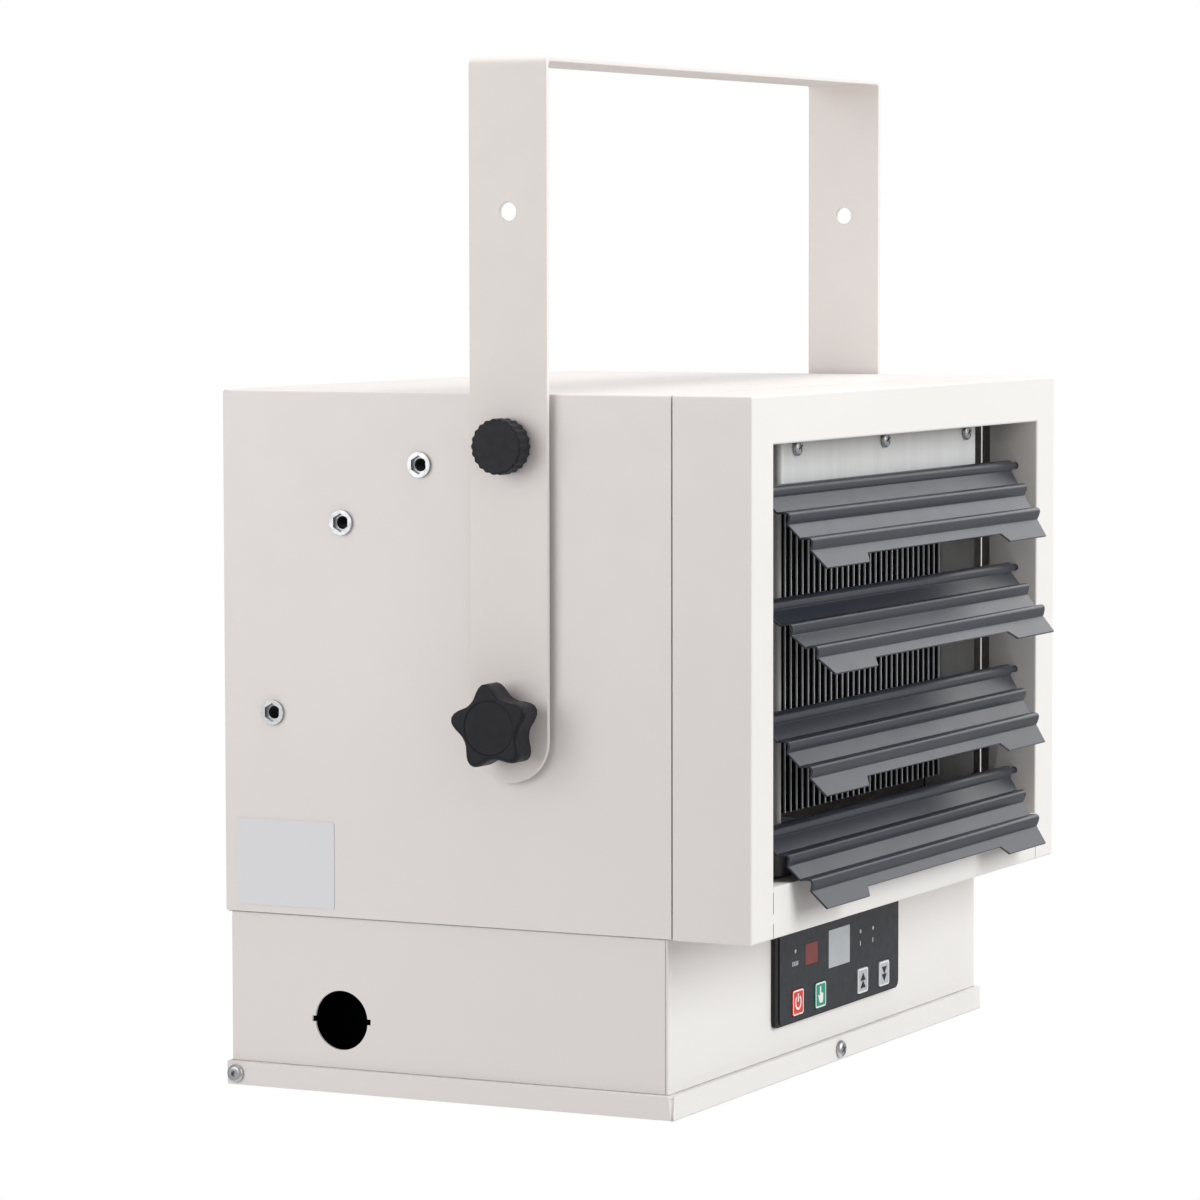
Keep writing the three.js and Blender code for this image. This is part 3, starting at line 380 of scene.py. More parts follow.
# %% [markdown]
# ## Dressing a piece
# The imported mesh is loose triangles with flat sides. A copy is merged and its flat faces are
# made whole again. Then round holes get more points, and the folds, rims and small parts that
# show are beveled, because even a tiny radius catches a line of light, and that line makes
# steel read as steel. Short folds and most cut edges of sheet stay sharp.

# %% Dressing helpers
FLAT_TURN = math.radians(1)
SOFT_TURN = math.radians(35)
NEAR = 0.03 * MM


def merged(node):
    """The node's mesh as a clean bmesh, with whole flat faces."""
    bm = bmesh.new()
    bm.from_mesh(frame["nodes"][node].data)
    bmesh.ops.remove_doubles(bm, verts=bm.verts, dist=0.02 * MM)
    bmesh.ops.dissolve_limit(bm, angle_limit=FLAT_TURN, verts=bm.verts, edges=bm.edges)
    return bm


def make_round(bm, axis, centre, radius):
    """Doubles the points of a faceted circle about an axis and sets them on its radius."""
    a, b = (k for k in range(3) if k != axis)
    hub = Vector((0, 0, 0))
    hub[a], hub[b] = centre[0] * MM, centre[1] * MM

    def away(vert):
        return math.hypot(vert.co[a] - hub[a], vert.co[b] - hub[b])

    arcs = [
        e for e in bm.edges
        if all(abs(away(v) - radius * MM) < NEAR for v in e.verts)
        and abs(e.verts[0].co[axis] - e.verts[1].co[axis]) < NEAR
        and e.calc_length() < radius * MM
    ]
    made = bmesh.ops.subdivide_edges(bm, edges=arcs, cuts=1, use_grid_fill=True)
    for vert in (g for g in made["geom_inner"] if isinstance(g, bmesh.types.BMVert)):
        grow = radius * MM / away(vert)
        vert.co[a] = hub[a] + (vert.co[a] - hub[a]) * grow
        vert.co[b] = hub[b] + (vert.co[b] - hub[b]) * grow


def sharp_edges(bm, turn=50):
    return [e for e in bm.edges
            if e.is_manifold and e.calc_face_angle(0) > math.radians(turn)]


def soften(bm, radius, segments=2, edges=None, clamp=True):
    """Rounds the given edges, or all sharp ones, by a radius in millimetres."""
    chosen = sharp_edges(bm) if edges is None else edges
    if chosen:
        bmesh.ops.bevel(
            bm, geom=chosen, offset=radius * MM, offset_type="OFFSET", segments=segments,
            profile=0.5, affect="EDGES", clamp_overlap=clamp, material=-1)
    return bm


def finish_piece(bm, name, slot, body, stands_for=(), turn=SOFT_TURN):
    """Turns a bmesh into a piece with its finish, its body and the nodes it stands for."""
    mesh = bpy.data.meshes.new(name)
    bm.to_mesh(mesh)
    bm.free()
    piece = bpy.data.objects.new(name, mesh)
    bpy.context.scene.collection.objects.link(piece)
    mesh.materials.append(finishes[slot])
    mesh.shade_smooth()
    mesh.set_sharp_from_angle(angle=turn)
    even = piece.modifiers.new("even_shading", "WEIGHTED_NORMAL")
    even.keep_sharp = True
    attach(piece, body)
    if stands_for:
        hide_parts(*stands_for)


def stand_in(bm, node, turn=SOFT_TURN):
    """Puts a finished piece in a node's place, in the node's own finish and body."""
    finish_piece(bm, f"{node}_dressed", slot_of[node], body_of[node], [node], turn)


# %% [markdown]
# ## Folded sheet steel
# Pressed sheet has two kinds of edge. A fold is round outside by about the thickness of the
# sheet, and a cut edge is nearly square. The width of the faces tells them apart: beside a
# cut edge lies a face no wider than the sheet.

# %% Tell folds from cut edges
CUT_FACE = 3 * MM
LONG_FOLD = 15 * MM


def face_width(face):
    return 2 * face.calc_area() / sum(e.calc_length() for e in face.edges)


def sheet_edges(bm, kind):
    """The sharp edges of one kind: outer folds, inner folds or cut edges."""
    found = []
    for edge in sharp_edges(bm, 30):
        if min(face_width(f) for f in edge.link_faces) < CUT_FACE:
            edge_kind = "cut"
        else:
            edge_kind = "outer" if edge.is_convex else "inner"
        if edge_kind == kind:
            found.append(edge)
    return found


def fold(bm, outer, inner):
    """Rounds the long folds of a sheet piece, outside and inside."""
    counts = []
    for kind, radius, segments in (("outer", outer, 4), ("inner", inner, 2)):
        edges = [e for e in sheet_edges(bm, kind) if e.calc_length() > LONG_FOLD]
        counts.append(len(edges))
        soften(bm, radius, segments, edges, clamp=False)
    print("folds rounded, outer and inner:", counts)


def dress_sheet(node, outer, inner, circles=(), before=(), after=()):
    """Folds a sheet piece, with its circles and its own extra steps before or after."""
    bm = merged(node)
    for circle in circles:
        make_round(bm, *circle)
    for step in before:
        step(bm)
    fold(bm, outer, inner)
    for step in after:
        step(bm)
    bmesh.ops.connect_verts_concave(bm, faces=bm.faces[:])
    stand_in(bm, node)


# %% Dress the strap
LEG_END = (0, -312.4)
LEG_HOLE = (0, -70.5)
CEILING_HOLES = ((120, 0), (-120, 0))
STRAP_HALF = 20
BOLT_RADIUS = 4.25
STRAP_CORNER = 0.45
bm = merged("hanger_bracket")
make_round(bm, 0, LEG_END, STRAP_HALF)
make_round(bm, 0, LEG_HOLE, BOLT_RADIUS)
for hole in CEILING_HOLES:
    make_round(bm, 2, hole, BOLT_RADIUS)
soften(bm, STRAP_CORNER, 3, sheet_edges(bm, "cut"), clamp=False)
print("strap faces:", len(bm.faces))
bmesh.ops.connect_verts_concave(bm, faces=bm.faces[:])
stand_in(bm, "hanger_bracket")

# %% Seams and score lines
SEAM = 0.65
SCORE_LINES = (-76.2, -75.75)    # the two edges of the pressed line, from front to back
SCORE_DEPTH = 0.5
OUTER_WALL = 185.4               # the box's side walls lie further out than this


def open_seams(bm):
    """Draws the cabinet's front and lower rims back a little, so that its seams show."""
    low = Vector((min(v.co.x for v in bm.verts), min(v.co.y for v in bm.verts),
                  min(v.co.z for v in bm.verts)))
    for vert in bm.verts:
        for axis in (1, 2):
            if vert.co[axis] - low[axis] < NEAR:
                vert.co[axis] += SEAM * MM


def score_corners(bm):
    """Presses a fine upright line into each side of the box, beside its front fold."""
    lines = [place * MM for place in SCORE_LINES]
    for place in lines:
        walls = [f for f in bm.faces if is_box_side(f)]
        parts = {g for f in walls for g in (f, *f.edges, *f.verts)}
        bmesh.ops.bisect_plane(bm, geom=list(parts), dist=1e-6, plane_co=(0, place, 0),
                               plane_no=(0, 1, 0))
    strips = [f for f in bm.faces
              if is_box_side(f) and lines[0] < f.calc_center_median().y < lines[1]]
    print("score lines:", len(strips))
    bmesh.ops.inset_region(bm, faces=strips, thickness=0.02 * MM, depth=-SCORE_DEPTH * MM,
                           use_even_offset=True)


def is_box_side(face):
    return abs(face.normal.x) > 0.99 and abs(face.calc_center_median().x) > OUTER_WALL * MM


# %% Lips of the bottom cover
TRAY_SIDE, TRAY_FRONT, TRAY_REAR = 187.5, -80.5, 154.5
SLOT_WIDTH = 0.9
SLOT_DEPTH = 0.9
SHORTEST_UPRIGHT = 5
INNER_RIM_SIDE = (185.6, 187.4)      # the inner rim of a side lip lies between these
INNER_RIM_FRONT = (-80.4, -77.6)     # and that of the front lip between these
PRESSED_SIDE, PRESSED_FRONT = 185.7, -77.7
LIP_RADIUS = 0.6


def at_side(vert):
    return abs(abs(vert.co.x) - TRAY_SIDE * MM) < NEAR


def at_front(vert):
    return abs(vert.co.y - TRAY_FRONT * MM) < NEAR


def slot_corners(bm):
    """Cuts the slot between the side lip and the front lip of the tray at both corners."""
    upright = [
        e for e in sharp_edges(bm)
        if all(at_front(v) and at_side(v) for v in e.verts)
        and abs(e.verts[0].co.z - e.verts[1].co.z) > SHORTEST_UPRIGHT * MM
    ]
    made = bmesh.ops.bevel(
        bm, geom=upright, offset=SLOT_WIDTH * MM, offset_type="OFFSET", segments=1,
        profile=0.5, affect="EDGES", clamp_overlap=False, material=-1)
    bm.normal_update()
    print("tray corners:", len(upright))
    bmesh.ops.inset_region(bm, faces=made["faces"], thickness=0.2 * MM,
                           depth=-SLOT_DEPTH * MM, use_even_offset=True)


def press_lips(bm):
    """Leans the tray's lips against the box."""
    top = max(v.co.z for v in bm.verts)
    for vert in (v for v in bm.verts if abs(v.co.z - top) < NEAR):
        if INNER_RIM_SIDE[0] * MM < abs(vert.co.x) < INNER_RIM_SIDE[1] * MM:
            vert.co.x = math.copysign(PRESSED_SIDE * MM, vert.co.x)
        if INNER_RIM_FRONT[0] * MM < vert.co.y < INNER_RIM_FRONT[1] * MM:
            vert.co.y = PRESSED_FRONT * MM


def round_lips(bm):
    """Rounds the upper outer rim of the tray's lips, which catches a thin line of light."""
    top = max(v.co.z for v in bm.verts)

    def outermost(vert):
        return at_side(vert) or at_front(vert) or abs(vert.co.y - TRAY_REAR * MM) < NEAR

    rims = [e for e in sharp_edges(bm) if e.calc_length() > LONG_FOLD
            and all(abs(v.co.z - top) < NEAR and outermost(v) for v in e.verts)]
    print("tray rims:", len(rims))
    soften(bm, LIP_RADIUS, 2, rims, clamp=False)


# %% Dress the cabinet
CONDUIT, CONDUIT_RADIUS = (93.3, -450), 14.1
ORIFICE, ORIFICE_RADIUS = (0, -277.4), 100
dress_sheet("cabinet_shell", 1.1, 0.35, before=[open_seams])
dress_sheet("outlet_collar", 1.1, 0.35)
dress_sheet("rear_panel", 1.0, 0.3, [(1, ORIFICE, ORIFICE_RADIUS)])
dress_sheet("control_box", 1.0, 0.3, [(0, CONDUIT, CONDUIT_RADIUS)], after=[score_corners])
dress_sheet("bottom_tray", 0.6, 0.3, before=[slot_corners, press_lips, round_lips])
# the air baffle takes black enamel, which is painted shade deep in the outlet
for inner_sheet in ("heater_shroud", "air_baffle", "cabinet_floor", "motor_mount"):
    dress_sheet(inner_sheet, 0.6, 0.2)

# %% [markdown]
# ## Louvres
# Each louvre is a pressed slat with rounded beads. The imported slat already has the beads'
# curve, so its copy only needs creases that are a little soft, which then catch thin lines
# of light, and smooth shading over the beads.

# %% Dress the louvres
LOUVRES = [name for name in frame["nodes"] if name.startswith("louvre_")]
for louvre in LOUVRES:
    stand_in(soften(merged(louvre), 0.22, 2, clamp=False), louvre, math.radians(46))
print("louvres:", len(LOUVRES))

# %% [markdown]
# ## Knobs
# A moulded knob has generous corners. The star knob falls away towards its rim, so its front
# edge gets a wide bevel in many steps, and a round cap is let into its face with a thin
# groove round it. The round knob has fine ribs for the fingers and a small front radius.

# %% Knob helpers
PIVOT = (0, -305.4)
INDEX = (0, -177.4)


def front_of(node, side):
    """The place on the X axis of a knob's outer face."""
    low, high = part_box(node)
    return low[0] if side == "left" else high[0]


def rim_edges(bm, front, centre, past):
    """The edges on the outer face that lie further from the knob's axis than a radius."""
    rim = []
    for edge in bm.edges:
        flat = all(abs(v.co.x - front) < NEAR for v in edge.verts)
        middle = (edge.verts[0].co + edge.verts[1].co) / 2
        away = math.hypot(middle.y - centre[0] * MM, middle.z - centre[1] * MM)
        if flat and away > past * MM and edge.calc_face_angle(0) > math.radians(50):
            rim.append(edge)
    return rim


def faces_at(bm, place, radius, centre):
    """The faces square to the X axis at a place, inside a radius."""
    return [
        f for f in bm.faces
        if abs(f.normal.x) > 0.99 and abs(f.calc_center_median().x - place) < NEAR
        and all(math.hypot(v.co.y - centre[0] * MM, v.co.z - centre[1] * MM) < radius * MM
                for v in f.verts)
    ]


# %% Dress the knobs
CAP_RADIUS = 12.6
CAP_RECESS = 1.0
STAR_CORNER = 2.0
GROOVE_STEPS = ((0.35, 0), (0.12, 0.7))      # how wide each inset is, and how far it rises
INDEX_FACE = 8
INDEX_CORNER = 0.9
RIB_CORNER = 0.12
WASHERS = (("star", PIVOT, 11), ("index", INDEX, 8.5))
for side, inwards in (("left", 1), ("right", -1)):
    star = f"star_knob_{side}"
    front = front_of(star, side)
    bm = merged(star)
    make_round(bm, 0, PIVOT, CAP_RADIUS)
    soften(bm, STAR_CORNER, 6, rim_edges(bm, front, PIVOT, CAP_RADIUS + 0.6), clamp=False)
    floor_place = front + inwards * CAP_RECESS * MM
    for width, rise in GROOVE_STEPS:
        bmesh.ops.inset_region(
            bm, faces=faces_at(bm, floor_place, CAP_RADIUS + 0.1, PIVOT),
            thickness=width * MM, depth=rise * MM, use_even_offset=True)
        bm.normal_update()
    print(star, "faces:", len(bm.faces))
    stand_in(bm, star)

    index = f"index_knob_{side}"
    bm = merged(index)
    rim = rim_edges(bm, front_of(index, side), INDEX, INDEX_FACE)
    soften(bm, INDEX_CORNER, 4, rim, clamp=False)
    soften(bm, RIB_CORNER, 1, sharp_edges(bm, 38))
    stand_in(bm, index)
    for kind, centre, radius in WASHERS:
        washer = f"{kind}_washer_{side}"
        bm = merged(washer)
        make_round(bm, 0, centre, radius)
        stand_in(soften(bm, 0.3, 2), washer)

# %% [markdown]
# ## Inserts
# The threaded inserts along the side are turned parts with a flange and a six-sided recess.
# Their edges are rounded so that each ring shines all the way round.

# %% Dress the inserts
INSERTS = [name for name in frame["nodes"] if "_insert_" in name]
FLANGE_RADIUS = 6
for insert in INSERTS:
    low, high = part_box(insert)
    centre = ((low[1] + high[1]) / 2 / MM, (low[2] + high[2]) / 2 / MM)
    bm = merged(insert)
    make_round(bm, 0, centre, FLANGE_RADIUS)
    stand_in(soften(bm, 0.3, 3), insert)
print("inserts:", len(INSERTS))

# %% [markdown]
# ## Pan-head screws
# A pan head is a low dome with a cross driven into its top. The dome is a short profile spun
# about the screw's axis. Four cuts each way mark the cross on the flat top, and its faces are
# inset downwards, so the recess gets sloping walls as a punched one has. The screw on the
# side has a six-sided socket, which six cuts mark in the same way.

# %% Screw helpers
HEAD_RADIUS = 4.24
HEAD_TOP = 2.3
HEAD_OUTLINE = ((HEAD_RADIUS - 0.15, 0), (HEAD_RADIUS, 0.2), (HEAD_RADIUS, 0.9), (3.98, 1.5),
                (3.4, 2.03), (2.7, HEAD_TOP))
SHANK_RADIUS = 1.9
SHANK_LENGTH = 4.8
SHANK_DROP = 2.3
SCREW_TURN = math.radians(25)
CROSS_REACH = 2.3
CROSS_HALF = 0.42
SOCKET_HALF = 1.4
RECESS_DEPTH = 1.7
RECESS_SLOPE = 0.14


def to_metres(bm):
    bmesh.ops.scale(bm, vec=(MM, MM, MM), verts=bm.verts)


def spun(bm, outline, axis, steps, centre=(0, 0, 0)):
    """Spins an outline all the way round: its points are a radius and a place on the axis."""
    line = [bm.verts.new(Vector(centre) + Vector((radius, 0, 0)) + Vector(axis) * along)
            for radius, along in outline]
    edges = [bm.edges.new(pair) for pair in zip(line, line[1:])]
    bmesh.ops.spin(bm, geom=line + edges, cent=centre, axis=axis, angle=math.tau,
                   steps=steps, use_merge=True)


def cut_flat(bm, axis, reach):
    """Marks a line across the head's flat top."""
    parts = {g for f in bm.faces if f.normal.z > 0.999 for g in (f, *f.edges, *f.verts)}
    bmesh.ops.bisect_plane(bm, geom=list(parts), dist=1e-5,
                           plane_co=Vector(axis) * reach, plane_no=axis)


def cross_faces(bm):
    """Marks a cross on the flat top and returns its faces."""
    for axis in ((1, 0, 0), (0, 1, 0)):
        for reach in (-CROSS_REACH, -CROSS_HALF, CROSS_HALF, CROSS_REACH):
            cut_flat(bm, axis, reach)
    cross = []
    for face in (f for f in bm.faces if f.normal.z > 0.999):
        x, y = (abs(v) for v in face.calc_center_median().xy)
        if min(x, y) < CROSS_HALF and max(x, y) < CROSS_REACH:
            cross.append(face)
    return cross


def socket_faces(bm):
    """Marks a hexagon on the flat top and returns its faces."""
    ways = [Vector((math.cos(a), math.sin(a), 0))
            for a in (math.radians(60 * k) for k in range(6))]
    for way in ways:
        cut_flat(bm, way, SOCKET_HALF)
    return [f for f in bm.faces if f.normal.z > 0.999
            and all(f.calc_center_median().dot(way) < SOCKET_HALF for way in ways)]


def pan_head(recess):
    """A screw along +Z in millimetres, with its head resting on the plane z = 0."""
    bm = bmesh.new()
    spun(bm, HEAD_OUTLINE, (0, 0, 1), 32)
    bmesh.ops.remove_doubles(bm, verts=bm.verts, dist=1e-4)
    rims = [e for e in bm.edges if e.is_boundary]
    bmesh.ops.holes_fill(bm, edges=rims, sides=0)
    bmesh.ops.recalc_face_normals(bm, faces=bm.faces)
    bmesh.ops.inset_region(bm, faces=recess(bm), thickness=RECESS_SLOPE,
                           depth=-RECESS_DEPTH, use_even_offset=True)
    return bm


def seat_screw(node, direction, recess):
    """Puts a pan head where a node's head is: direction is the way that the head faces."""
    low, high = (Vector(corner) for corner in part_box(node))
    centre = (low + high) / 2
    axis = max(range(3), key=lambda k: abs(direction[k]))
    centre[axis] = high[axis] if direction[axis] > 0 else low[axis]
    bm = pan_head(recess)
    shank = bmesh.ops.create_cone(bm, cap_ends=True, segments=16, radius1=SHANK_RADIUS,
                                  radius2=SHANK_RADIUS, depth=SHANK_LENGTH)
    bmesh.ops.translate(bm, verts=shank["verts"], vec=(0, 0, -SHANK_DROP))
    bmesh.ops.translate(bm, verts=bm.verts, vec=(0, 0, -HEAD_TOP))
    to_metres(bm)
    turn = Vector((0, 0, 1)).rotation_difference(Vector(direction)).to_matrix()
    spin = Matrix.Rotation(SCREW_TURN, 3, direction)
    bmesh.ops.rotate(bm, cent=(0, 0, 0), matrix=spin @ turn, verts=bm.verts)
    bmesh.ops.translate(bm, verts=bm.verts, vec=centre)
    stand_in(bm, node)


# %% Make the screws
FORWARD, LEFTWARD = (0, -1, 0), (-1, 0, 0)
SCREWS = {name: FORWARD for name in frame["nodes"] if "_screw_" in name}
SCREWS["tray_screw_left"] = LEFTWARD
for screw, way in SCREWS.items():
    seat_screw(screw, way, cross_faces if way == FORWARD else socket_faces)
print("screws:", len(SCREWS))

# %% [markdown]
# ## The keypad
# The keypad is a black moulding with a dark printed film over it. Its keys, windows and small
# lamps sit in the film. Printed marks are thin raised plates, because ink on a membrane
# keypad really stands a little proud, and so the marks are also in the mesh.

# %% Dress the keypad's pieces
for part, radius in (("keypad_bezel", 0.35), ("keypad_overlay", 0.12),
                     ("display_window", 0.15), ("infrared_window", 0.15)):
    stand_in(soften(merged(part), radius, 2), part)
KEYS = ("button_power", "button_manual", "button_up", "button_down")
for key in KEYS:
    stand_in(soften(merged(key), 0.25, 3), key)
print("keys:", len(KEYS))

# %% Ink helpers
INK = 0.06
BAR_STEP, BAR_HALF, BAR_RISE = 1.9, 0.55, 1.1


def plate(bm, *points):
    """A flat face through a few points in millimetres."""
    return bm.faces.new([bm.verts.new((x, y, 0)) for x, y in points])


def ink(name, draw, place, slot, body, height=INK):
    """Raises flat faces into thin ink that faces forward, set at a place in metres."""
    bm = bmesh.new()
    draw(bm)
    raised = bmesh.ops.extrude_face_region(bm, geom=bm.faces[:])["geom"]
    bmesh.ops.translate(bm, vec=(0, 0, height),
                        verts=[g for g in raised if isinstance(g, bmesh.types.BMVert)])
    bmesh.ops.recalc_face_normals(bm, faces=bm.faces)
    to_metres(bm)
    bmesh.ops.rotate(bm, cent=(0, 0, 0), matrix=Matrix.Rotation(math.pi / 2, 3, "X"),
                     verts=bm.verts)
    bmesh.ops.translate(bm, verts=bm.verts, vec=place)
    finish_piece(bm, name, slot, body)


def frame_line(width, height, corner, line):
    """Draws a round-cornered frame."""
    def draw(bm):
        bmesh.ops.create_grid(bm, x_segments=1, y_segments=1, size=0.5)
        bmesh.ops.scale(bm, vec=(width, height, 1), verts=bm.verts)
        bmesh.ops.bevel(bm, geom=bm.verts[:], offset=corner, offset_type="OFFSET", segments=5,
                        profile=0.5, affect="VERTICES", clamp_overlap=True, material=-1)
        inner = bm.faces[:]
        bmesh.ops.inset_region(bm, faces=inner, thickness=line, use_even_offset=True,
                               use_boundary=True)
        middle = min(bm.faces, key=lambda f: f.calc_center_median().length - f.calc_area())
        bmesh.ops.delete(bm, geom=[middle], context="FACES_ONLY")
    return draw


def power_sign(bm):
    """An open ring with an upright bar in its gap."""
    start, sweep = math.radians(125), math.radians(290)
    line = [bm.verts.new((r * math.cos(start), r * math.sin(start), 0)) for r in (2.6, 3.7)]
    edge = bm.edges.new(line)
    bmesh.ops.spin(bm, geom=line + [edge], cent=(0, 0, 0), axis=(0, 0, 1), angle=sweep,
                   steps=20)
    plate(bm, (-0.55, 0.2), (0.55, 0.2), (0.55, 4.3), (-0.55, 4.3))


def pointing_hand(bm):
    """A hand with one finger up."""
    plate(bm, (-1.2, 3.9), (-0.7, 4.3), (-0.1, 4.3), (0.4, 3.9), (0.4, 1.1), (2.2, 0.8),
          (2.9, 0.2), (2.7, -2.2), (2.0, -3.9), (-1.4, -3.9), (-2.2, -2.2), (-3.1, -0.2),
          (-2.6, 0.4), (-1.2, -0.6))


def arrow_pair(way):
    """Two arrowheads one above the other, pointing up or down."""
    def draw(bm):
        for rise in (-2.0, 1.7):
            plate(bm, (-3.2, rise - 1.7 * way), (3.2, rise - 1.7 * way), (0, rise + 2.1 * way))
    return draw


def bars(count):
    """A row of small upright bars."""
    def draw(bm):
        for number in range(count):
            middle = BAR_STEP * (number - (count - 1) / 2)
            left, right = middle - BAR_HALF, middle + BAR_HALF
            plate(bm, (left, -BAR_RISE), (right, -BAR_RISE), (right, BAR_RISE),
                  (left, BAR_RISE))
    return draw


def disc(radius):
    return lambda bm: bmesh.ops.create_circle(bm, cap_ends=True, segments=20, radius=radius)


# %% Print the keys
SIGNS = {
    "button_power": ("power_sign", power_sign, "cabinet_paint"),
    "button_manual": ("hand_sign", pointing_hand, "cabinet_paint"),
    "button_up": ("up_sign", arrow_pair(1), "black_bezel"),
    "button_down": ("down_sign", arrow_pair(-1), "black_bezel"),
}
KEY_BORDER = (12.3, 12.1, 1.5, 0.75)     # width, height, corner and line
for key, (name, draw, slot) in SIGNS.items():
    low, high = (Vector(corner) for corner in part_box(key))
    front = Vector(((low.x + high.x) / 2, low.y, (low.z + high.z) / 2))
    ink(f"{key}_{name}", draw, front, slot, body_of[key])
    ink(f"{key}_border", frame_line(*KEY_BORDER), front, "cabinet_paint", body_of[key])
print("signs:", len(SIGNS))

# %% Set the small lamps in the film
FILM_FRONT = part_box("keypad_overlay")[0][1]
FILM_BODY = body_of["keypad_overlay"]
SIGNALS = ((-50.5, -423.8, 4), (28.3, -424.1, 1), (44, -424.3, 1))   # place and bars of each
LAMP_RADIUS = 1.0
LAMP_RISE = 0.2
BARS_DROP = 6
for number, (x, z, count) in enumerate(SIGNALS):
    ink(f"signal_lamp_{number}", disc(LAMP_RADIUS), (x * MM, FILM_FRONT, z * MM),
        "display_grey", FILM_BODY, LAMP_RISE)
    ink(f"signal_bars_{number}", bars(count), (x * MM, FILM_FRONT, (z - BARS_DROP) * MM),
        "key_grey", FILM_BODY)
print("lamps in the film:", len(SIGNALS))

# %% [markdown]
# ## Electrical parts
# The control box hides a terminal block, a contactor and a circuit board. Clamping screws sit
# in pockets: a face is cut into cells, and each cell is let in. The board carries its parts
# on the side away from the keypad.

# %% Electrical helpers


def pockets(bm, axis, side, cells, rim, depth):
    """Cuts the face that looks one way along an axis into cells and lets each cell in."""
    def outward():
        return [f for f in bm.faces if f.normal[axis] * side > 0.99]

    face = max(outward(), key=lambda f: f.calc_area())
    for across, count in cells.items():
        places = [v.co[across] for v in face.verts]
        low, high = min(places), max(places)
        normal = Vector((0, 0, 0))
        normal[across] = 1
        for step in range(1, count):
            parts = {g for f in outward() for g in (f, *f.edges, *f.verts)}
            bmesh.ops.bisect_plane(bm, geom=list(parts), dist=1e-6, plane_no=normal,
                                   plane_co=normal * (low + (high - low) * step / count))
    bm.normal_update()
    chosen = [f for f in outward() if face_width(f) > 2 * rim * MM]
    bmesh.ops.inset_individual(bm, faces=chosen, thickness=rim * MM, depth=-depth * MM,
                               use_even_offset=True)
    return len(chosen)


def add_block(bm, centre, size):
    """A plain block in millimetres."""
    verts = bmesh.ops.create_cube(bm, size=1)["verts"]
    bmesh.ops.scale(bm, vec=size, verts=verts)
    bmesh.ops.translate(bm, vec=centre, verts=verts)


# %% Dress the electrical parts
POCKET_CELLS = {"terminal_block": {0: 2, 1: 6}, "contactor": {0: 3, 1: 2}}
POCKET_RIM = 1.2
POCKET_DEPTH = 3.0
for part, cells in POCKET_CELLS.items():
    bm = soften(merged(part), 0.6, 2)
    print(part, "pockets:", pockets(bm, 2, -1, cells, POCKET_RIM, POCKET_DEPTH))
    stand_in(bm, part)

BOARD_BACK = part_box("circuit_board")[1][1] / MM
# each part's place across and upwards, its width and height, and how far it stands out
BOARD_PARTS = (
    (-52, -440, 14, 10, 2.2), (-30, -421, 9, 9, 5.5), (-12, -441, 20, 8, 2.2),
    (14, -424, 12, 12, 6.0), (34, -441, 9, 6, 3.0), (52, -425, 16, 12, 7.0),
    (62, -444, 7, 5, 2.2),
)
bm = bmesh.new()
for x, z, width, height, rise in BOARD_PARTS:
    add_block(bm, (x, BOARD_BACK + rise / 2, z), (width, rise, height))
to_metres(bm)
finish_piece(soften(bm, 0.3, 2), "board_parts", "black_phenolic", body_of["circuit_board"])

# %% [markdown]
# ## The rating plate's place
# The rating plate is a thin bare foil with round corners.

# %% Dress the label
LABEL_CORNER = 1.0
bm = merged("rating_label")
upright = [e for e in bm.edges if abs(e.verts[0].co.x - e.verts[1].co.x) > 0.1 * MM]
soften(bm, LABEL_CORNER, 4, upright)
print("label corners:", len(upright))
stand_in(bm, "rating_label")

# %% [markdown]
# ## Fan guard
# The guard is welded from round wire: five rings on four crossing spokes, with a dished disc
# in the middle. Each ring is a small circle spun about the fan's axis.

# %% Make the guard
WIRE_RADIUS = 1.3
GUARD_MIDDLE = Vector((0, 155.9, ORIFICE[1]))
RING_RADII = (38.8, 55.6, 72.4, 89.2, 106)
SPOKE_REACH = 104.7
SPOKE_RADIUS = WIRE_RADIUS * 0.96
SPOKE_TURNS = (22.5, 67.5, 112.5, 157.5)
DISC_OUTLINE = ((0, 1.3), (17, 1.3), (20.5, 0.5), (21.6, -0.5), (22, -1.3), (0, -1.3))


def wire_ring(bm, radius):
    """A ring of round wire about the Y axis."""
    section = bmesh.ops.create_circle(bm, segments=12, radius=WIRE_RADIUS)["verts"]
    bmesh.ops.translate(bm, verts=section, vec=(radius - WIRE_RADIUS, 0, 0))
    edges = {e for v in section for e in v.link_edges}
    bmesh.ops.spin(bm, geom=section + list(edges), cent=(0, 0, 0), axis=(0, 1, 0),
                   angle=math.tau, steps=96, use_merge=True)


bm = bmesh.new()
for radius in RING_RADII:
    wire_ring(bm, radius)
bmesh.ops.remove_doubles(bm, verts=bm.verts, dist=1e-3)
for turn in SPOKE_TURNS:
    spoke = bmesh.ops.create_cone(bm, cap_ends=True, segments=12, radius1=SPOKE_RADIUS,
                                  radius2=SPOKE_RADIUS, depth=2 * SPOKE_REACH)["verts"]
    bmesh.ops.rotate(bm, cent=(0, 0, 0), verts=spoke,
                     matrix=Matrix.Rotation(math.radians(turn), 3, "Y"))
spun(bm, DISC_OUTLINE, (0, 1, 0), 64)
bmesh.ops.remove_doubles(bm, verts=bm.verts, dist=1e-3)
bmesh.ops.recalc_face_normals(bm, faces=bm.faces)
bmesh.ops.translate(bm, verts=bm.verts, vec=GUARD_MIDDLE)
to_metres(bm)
print("guard faces:", len(bm.faces))
stand_in(bm, "fan_guard")

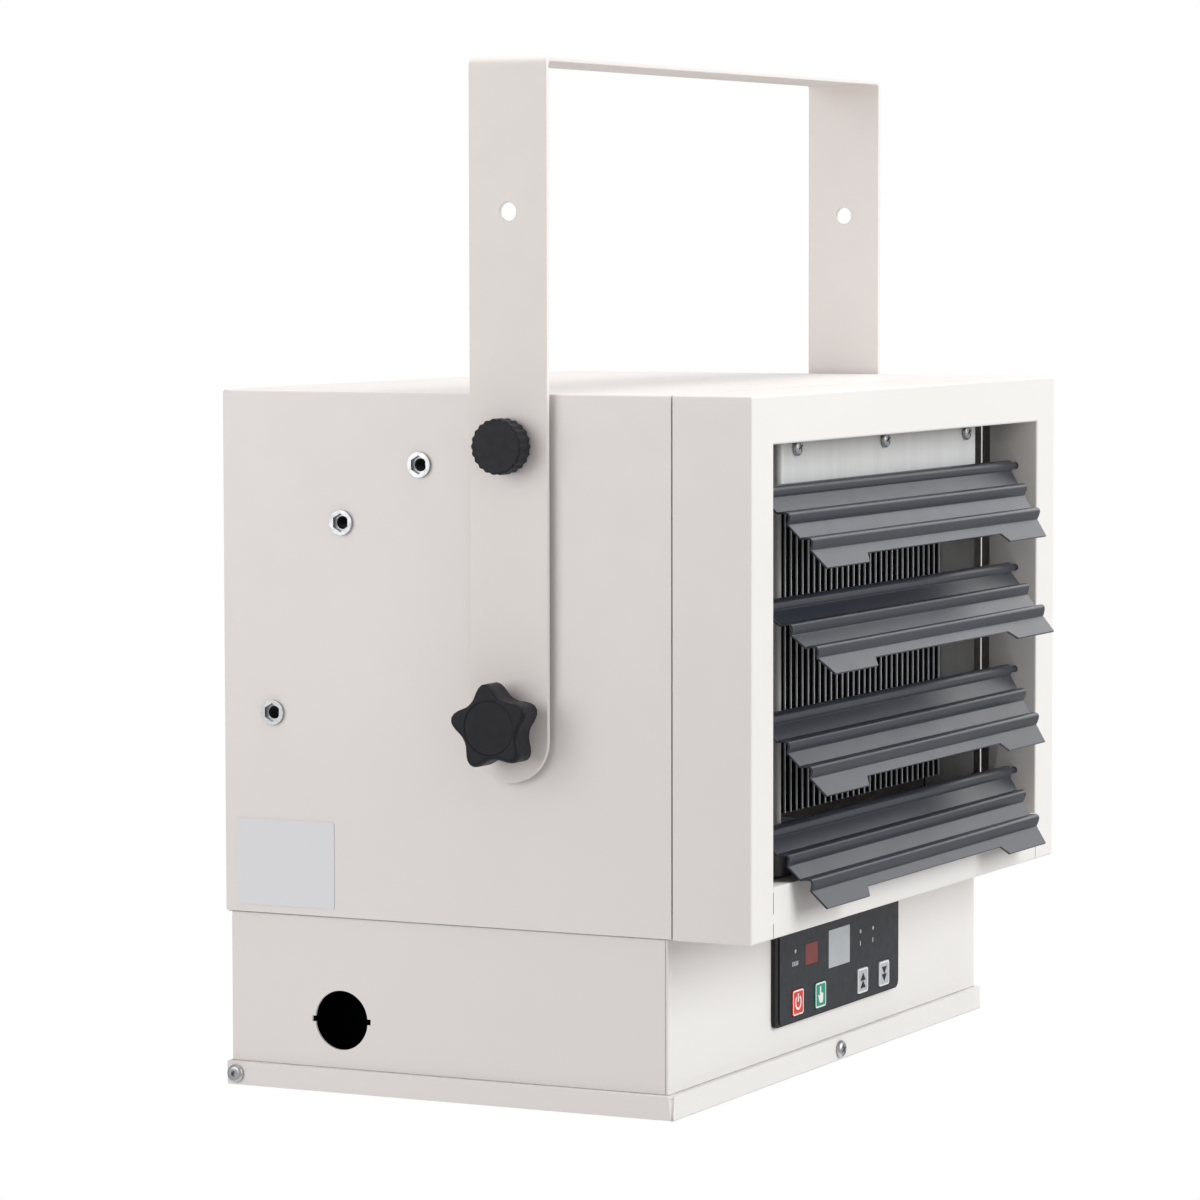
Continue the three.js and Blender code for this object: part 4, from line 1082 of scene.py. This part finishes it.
# %% [markdown]
# ## Fan wheel
# A pressed blade is cambered and twisted: it stands steeper near the hub. A flat grid is bent
# into that shape point by point, gets its thickness, and is repeated round a spun hub.

# %% Make the fan wheel
FAN_MIDDLE = Vector((0, 130.65, ORIFICE[1]))
HUB_OUTLINE = ((0, -12), (26, -12), (26, 9), (25.1, 11.1), (23, 12), (13, 12), (12, 10.5),
               (0, 10.5))
BLADE_ROOT, BLADE_TIP, BLADE_CHORD, BLADE_SHEET = 24, 93.6, 54, 1.6
BLADES = 5
ROOT_PITCH, TWIST = 40, 10       # degrees at the hub, and how many fewer at the tip
CAMBER = 2.5


def bent_blade(bm):
    """One blade along +X in millimetres."""
    blade = bmesh.ops.create_grid(bm, x_segments=14, y_segments=12, size=0.5)["verts"]
    for vert in blade:
        out, across = vert.co.x + 0.5, vert.co.y
        radius = BLADE_ROOT + out * (BLADE_TIP - BLADE_ROOT)
        pitch = math.radians(ROOT_PITCH - TWIST * out)
        chord = BLADE_CHORD * (0.72 + 0.28 * math.sin(math.pi * min(1, out * 1.1) / 2))
        chord *= 1 - 0.22 * out ** 8
        slide = across * chord
        swing = slide * math.cos(pitch) / radius
        bow = CAMBER * (1 - (2 * across) ** 2) * math.cos(pitch)
        lift = slide * math.sin(pitch) - bow
        vert.co = (radius * math.cos(swing), lift, radius * math.sin(swing))
    return blade


bm = bmesh.new()
spun(bm, HUB_OUTLINE, (0, 1, 0), 48)
bmesh.ops.remove_doubles(bm, verts=bm.verts, dist=1e-3)
bmesh.ops.recalc_face_normals(bm, faces=bm.faces)
for number in range(BLADES):
    blade = bent_blade(bm)
    faces = list({f for v in blade for f in v.link_faces})
    made = bmesh.ops.solidify(bm, geom=faces, thickness=BLADE_SHEET)["geom"]
    whole = {v for f in faces for v in f.verts}
    whole |= {g for g in made if isinstance(g, bmesh.types.BMVert)}
    bmesh.ops.rotate(bm, cent=(0, 0, 0), verts=list(whole),
                     matrix=Matrix.Rotation(math.tau * number / BLADES, 3, "Y"))
bmesh.ops.translate(bm, verts=bm.verts, vec=FAN_MIDDLE)
to_metres(bm)
print("fan faces:", len(bm.faces))
stand_in(bm, "fan_wheel")

# %% [markdown]
# ## Fan motor
# The motor is a drawn steel can with a seam band between its two halves, spun from half of
# its outline.

# %% Make the motor
MOTOR_OUTLINE = ((0, 49.2), (32, 49.2), (36, 50.4), (39, 53.4), (40, 57.4), (40, 70), (42, 71),
                 (42, 85), (40, 86), (40, 99), (39, 103), (36, 106), (32, 107.2), (0, 107.2))
bm = bmesh.new()
spun(bm, MOTOR_OUTLINE, (0, 1, 0), 64, (0, 0, ORIFICE[1]))
bmesh.ops.remove_doubles(bm, verts=bm.verts, dist=1e-3)
bmesh.ops.recalc_face_normals(bm, faces=bm.faces)
to_metres(bm)
print("motor faces:", len(bm.faces))
stand_in(bm, "fan_motor")
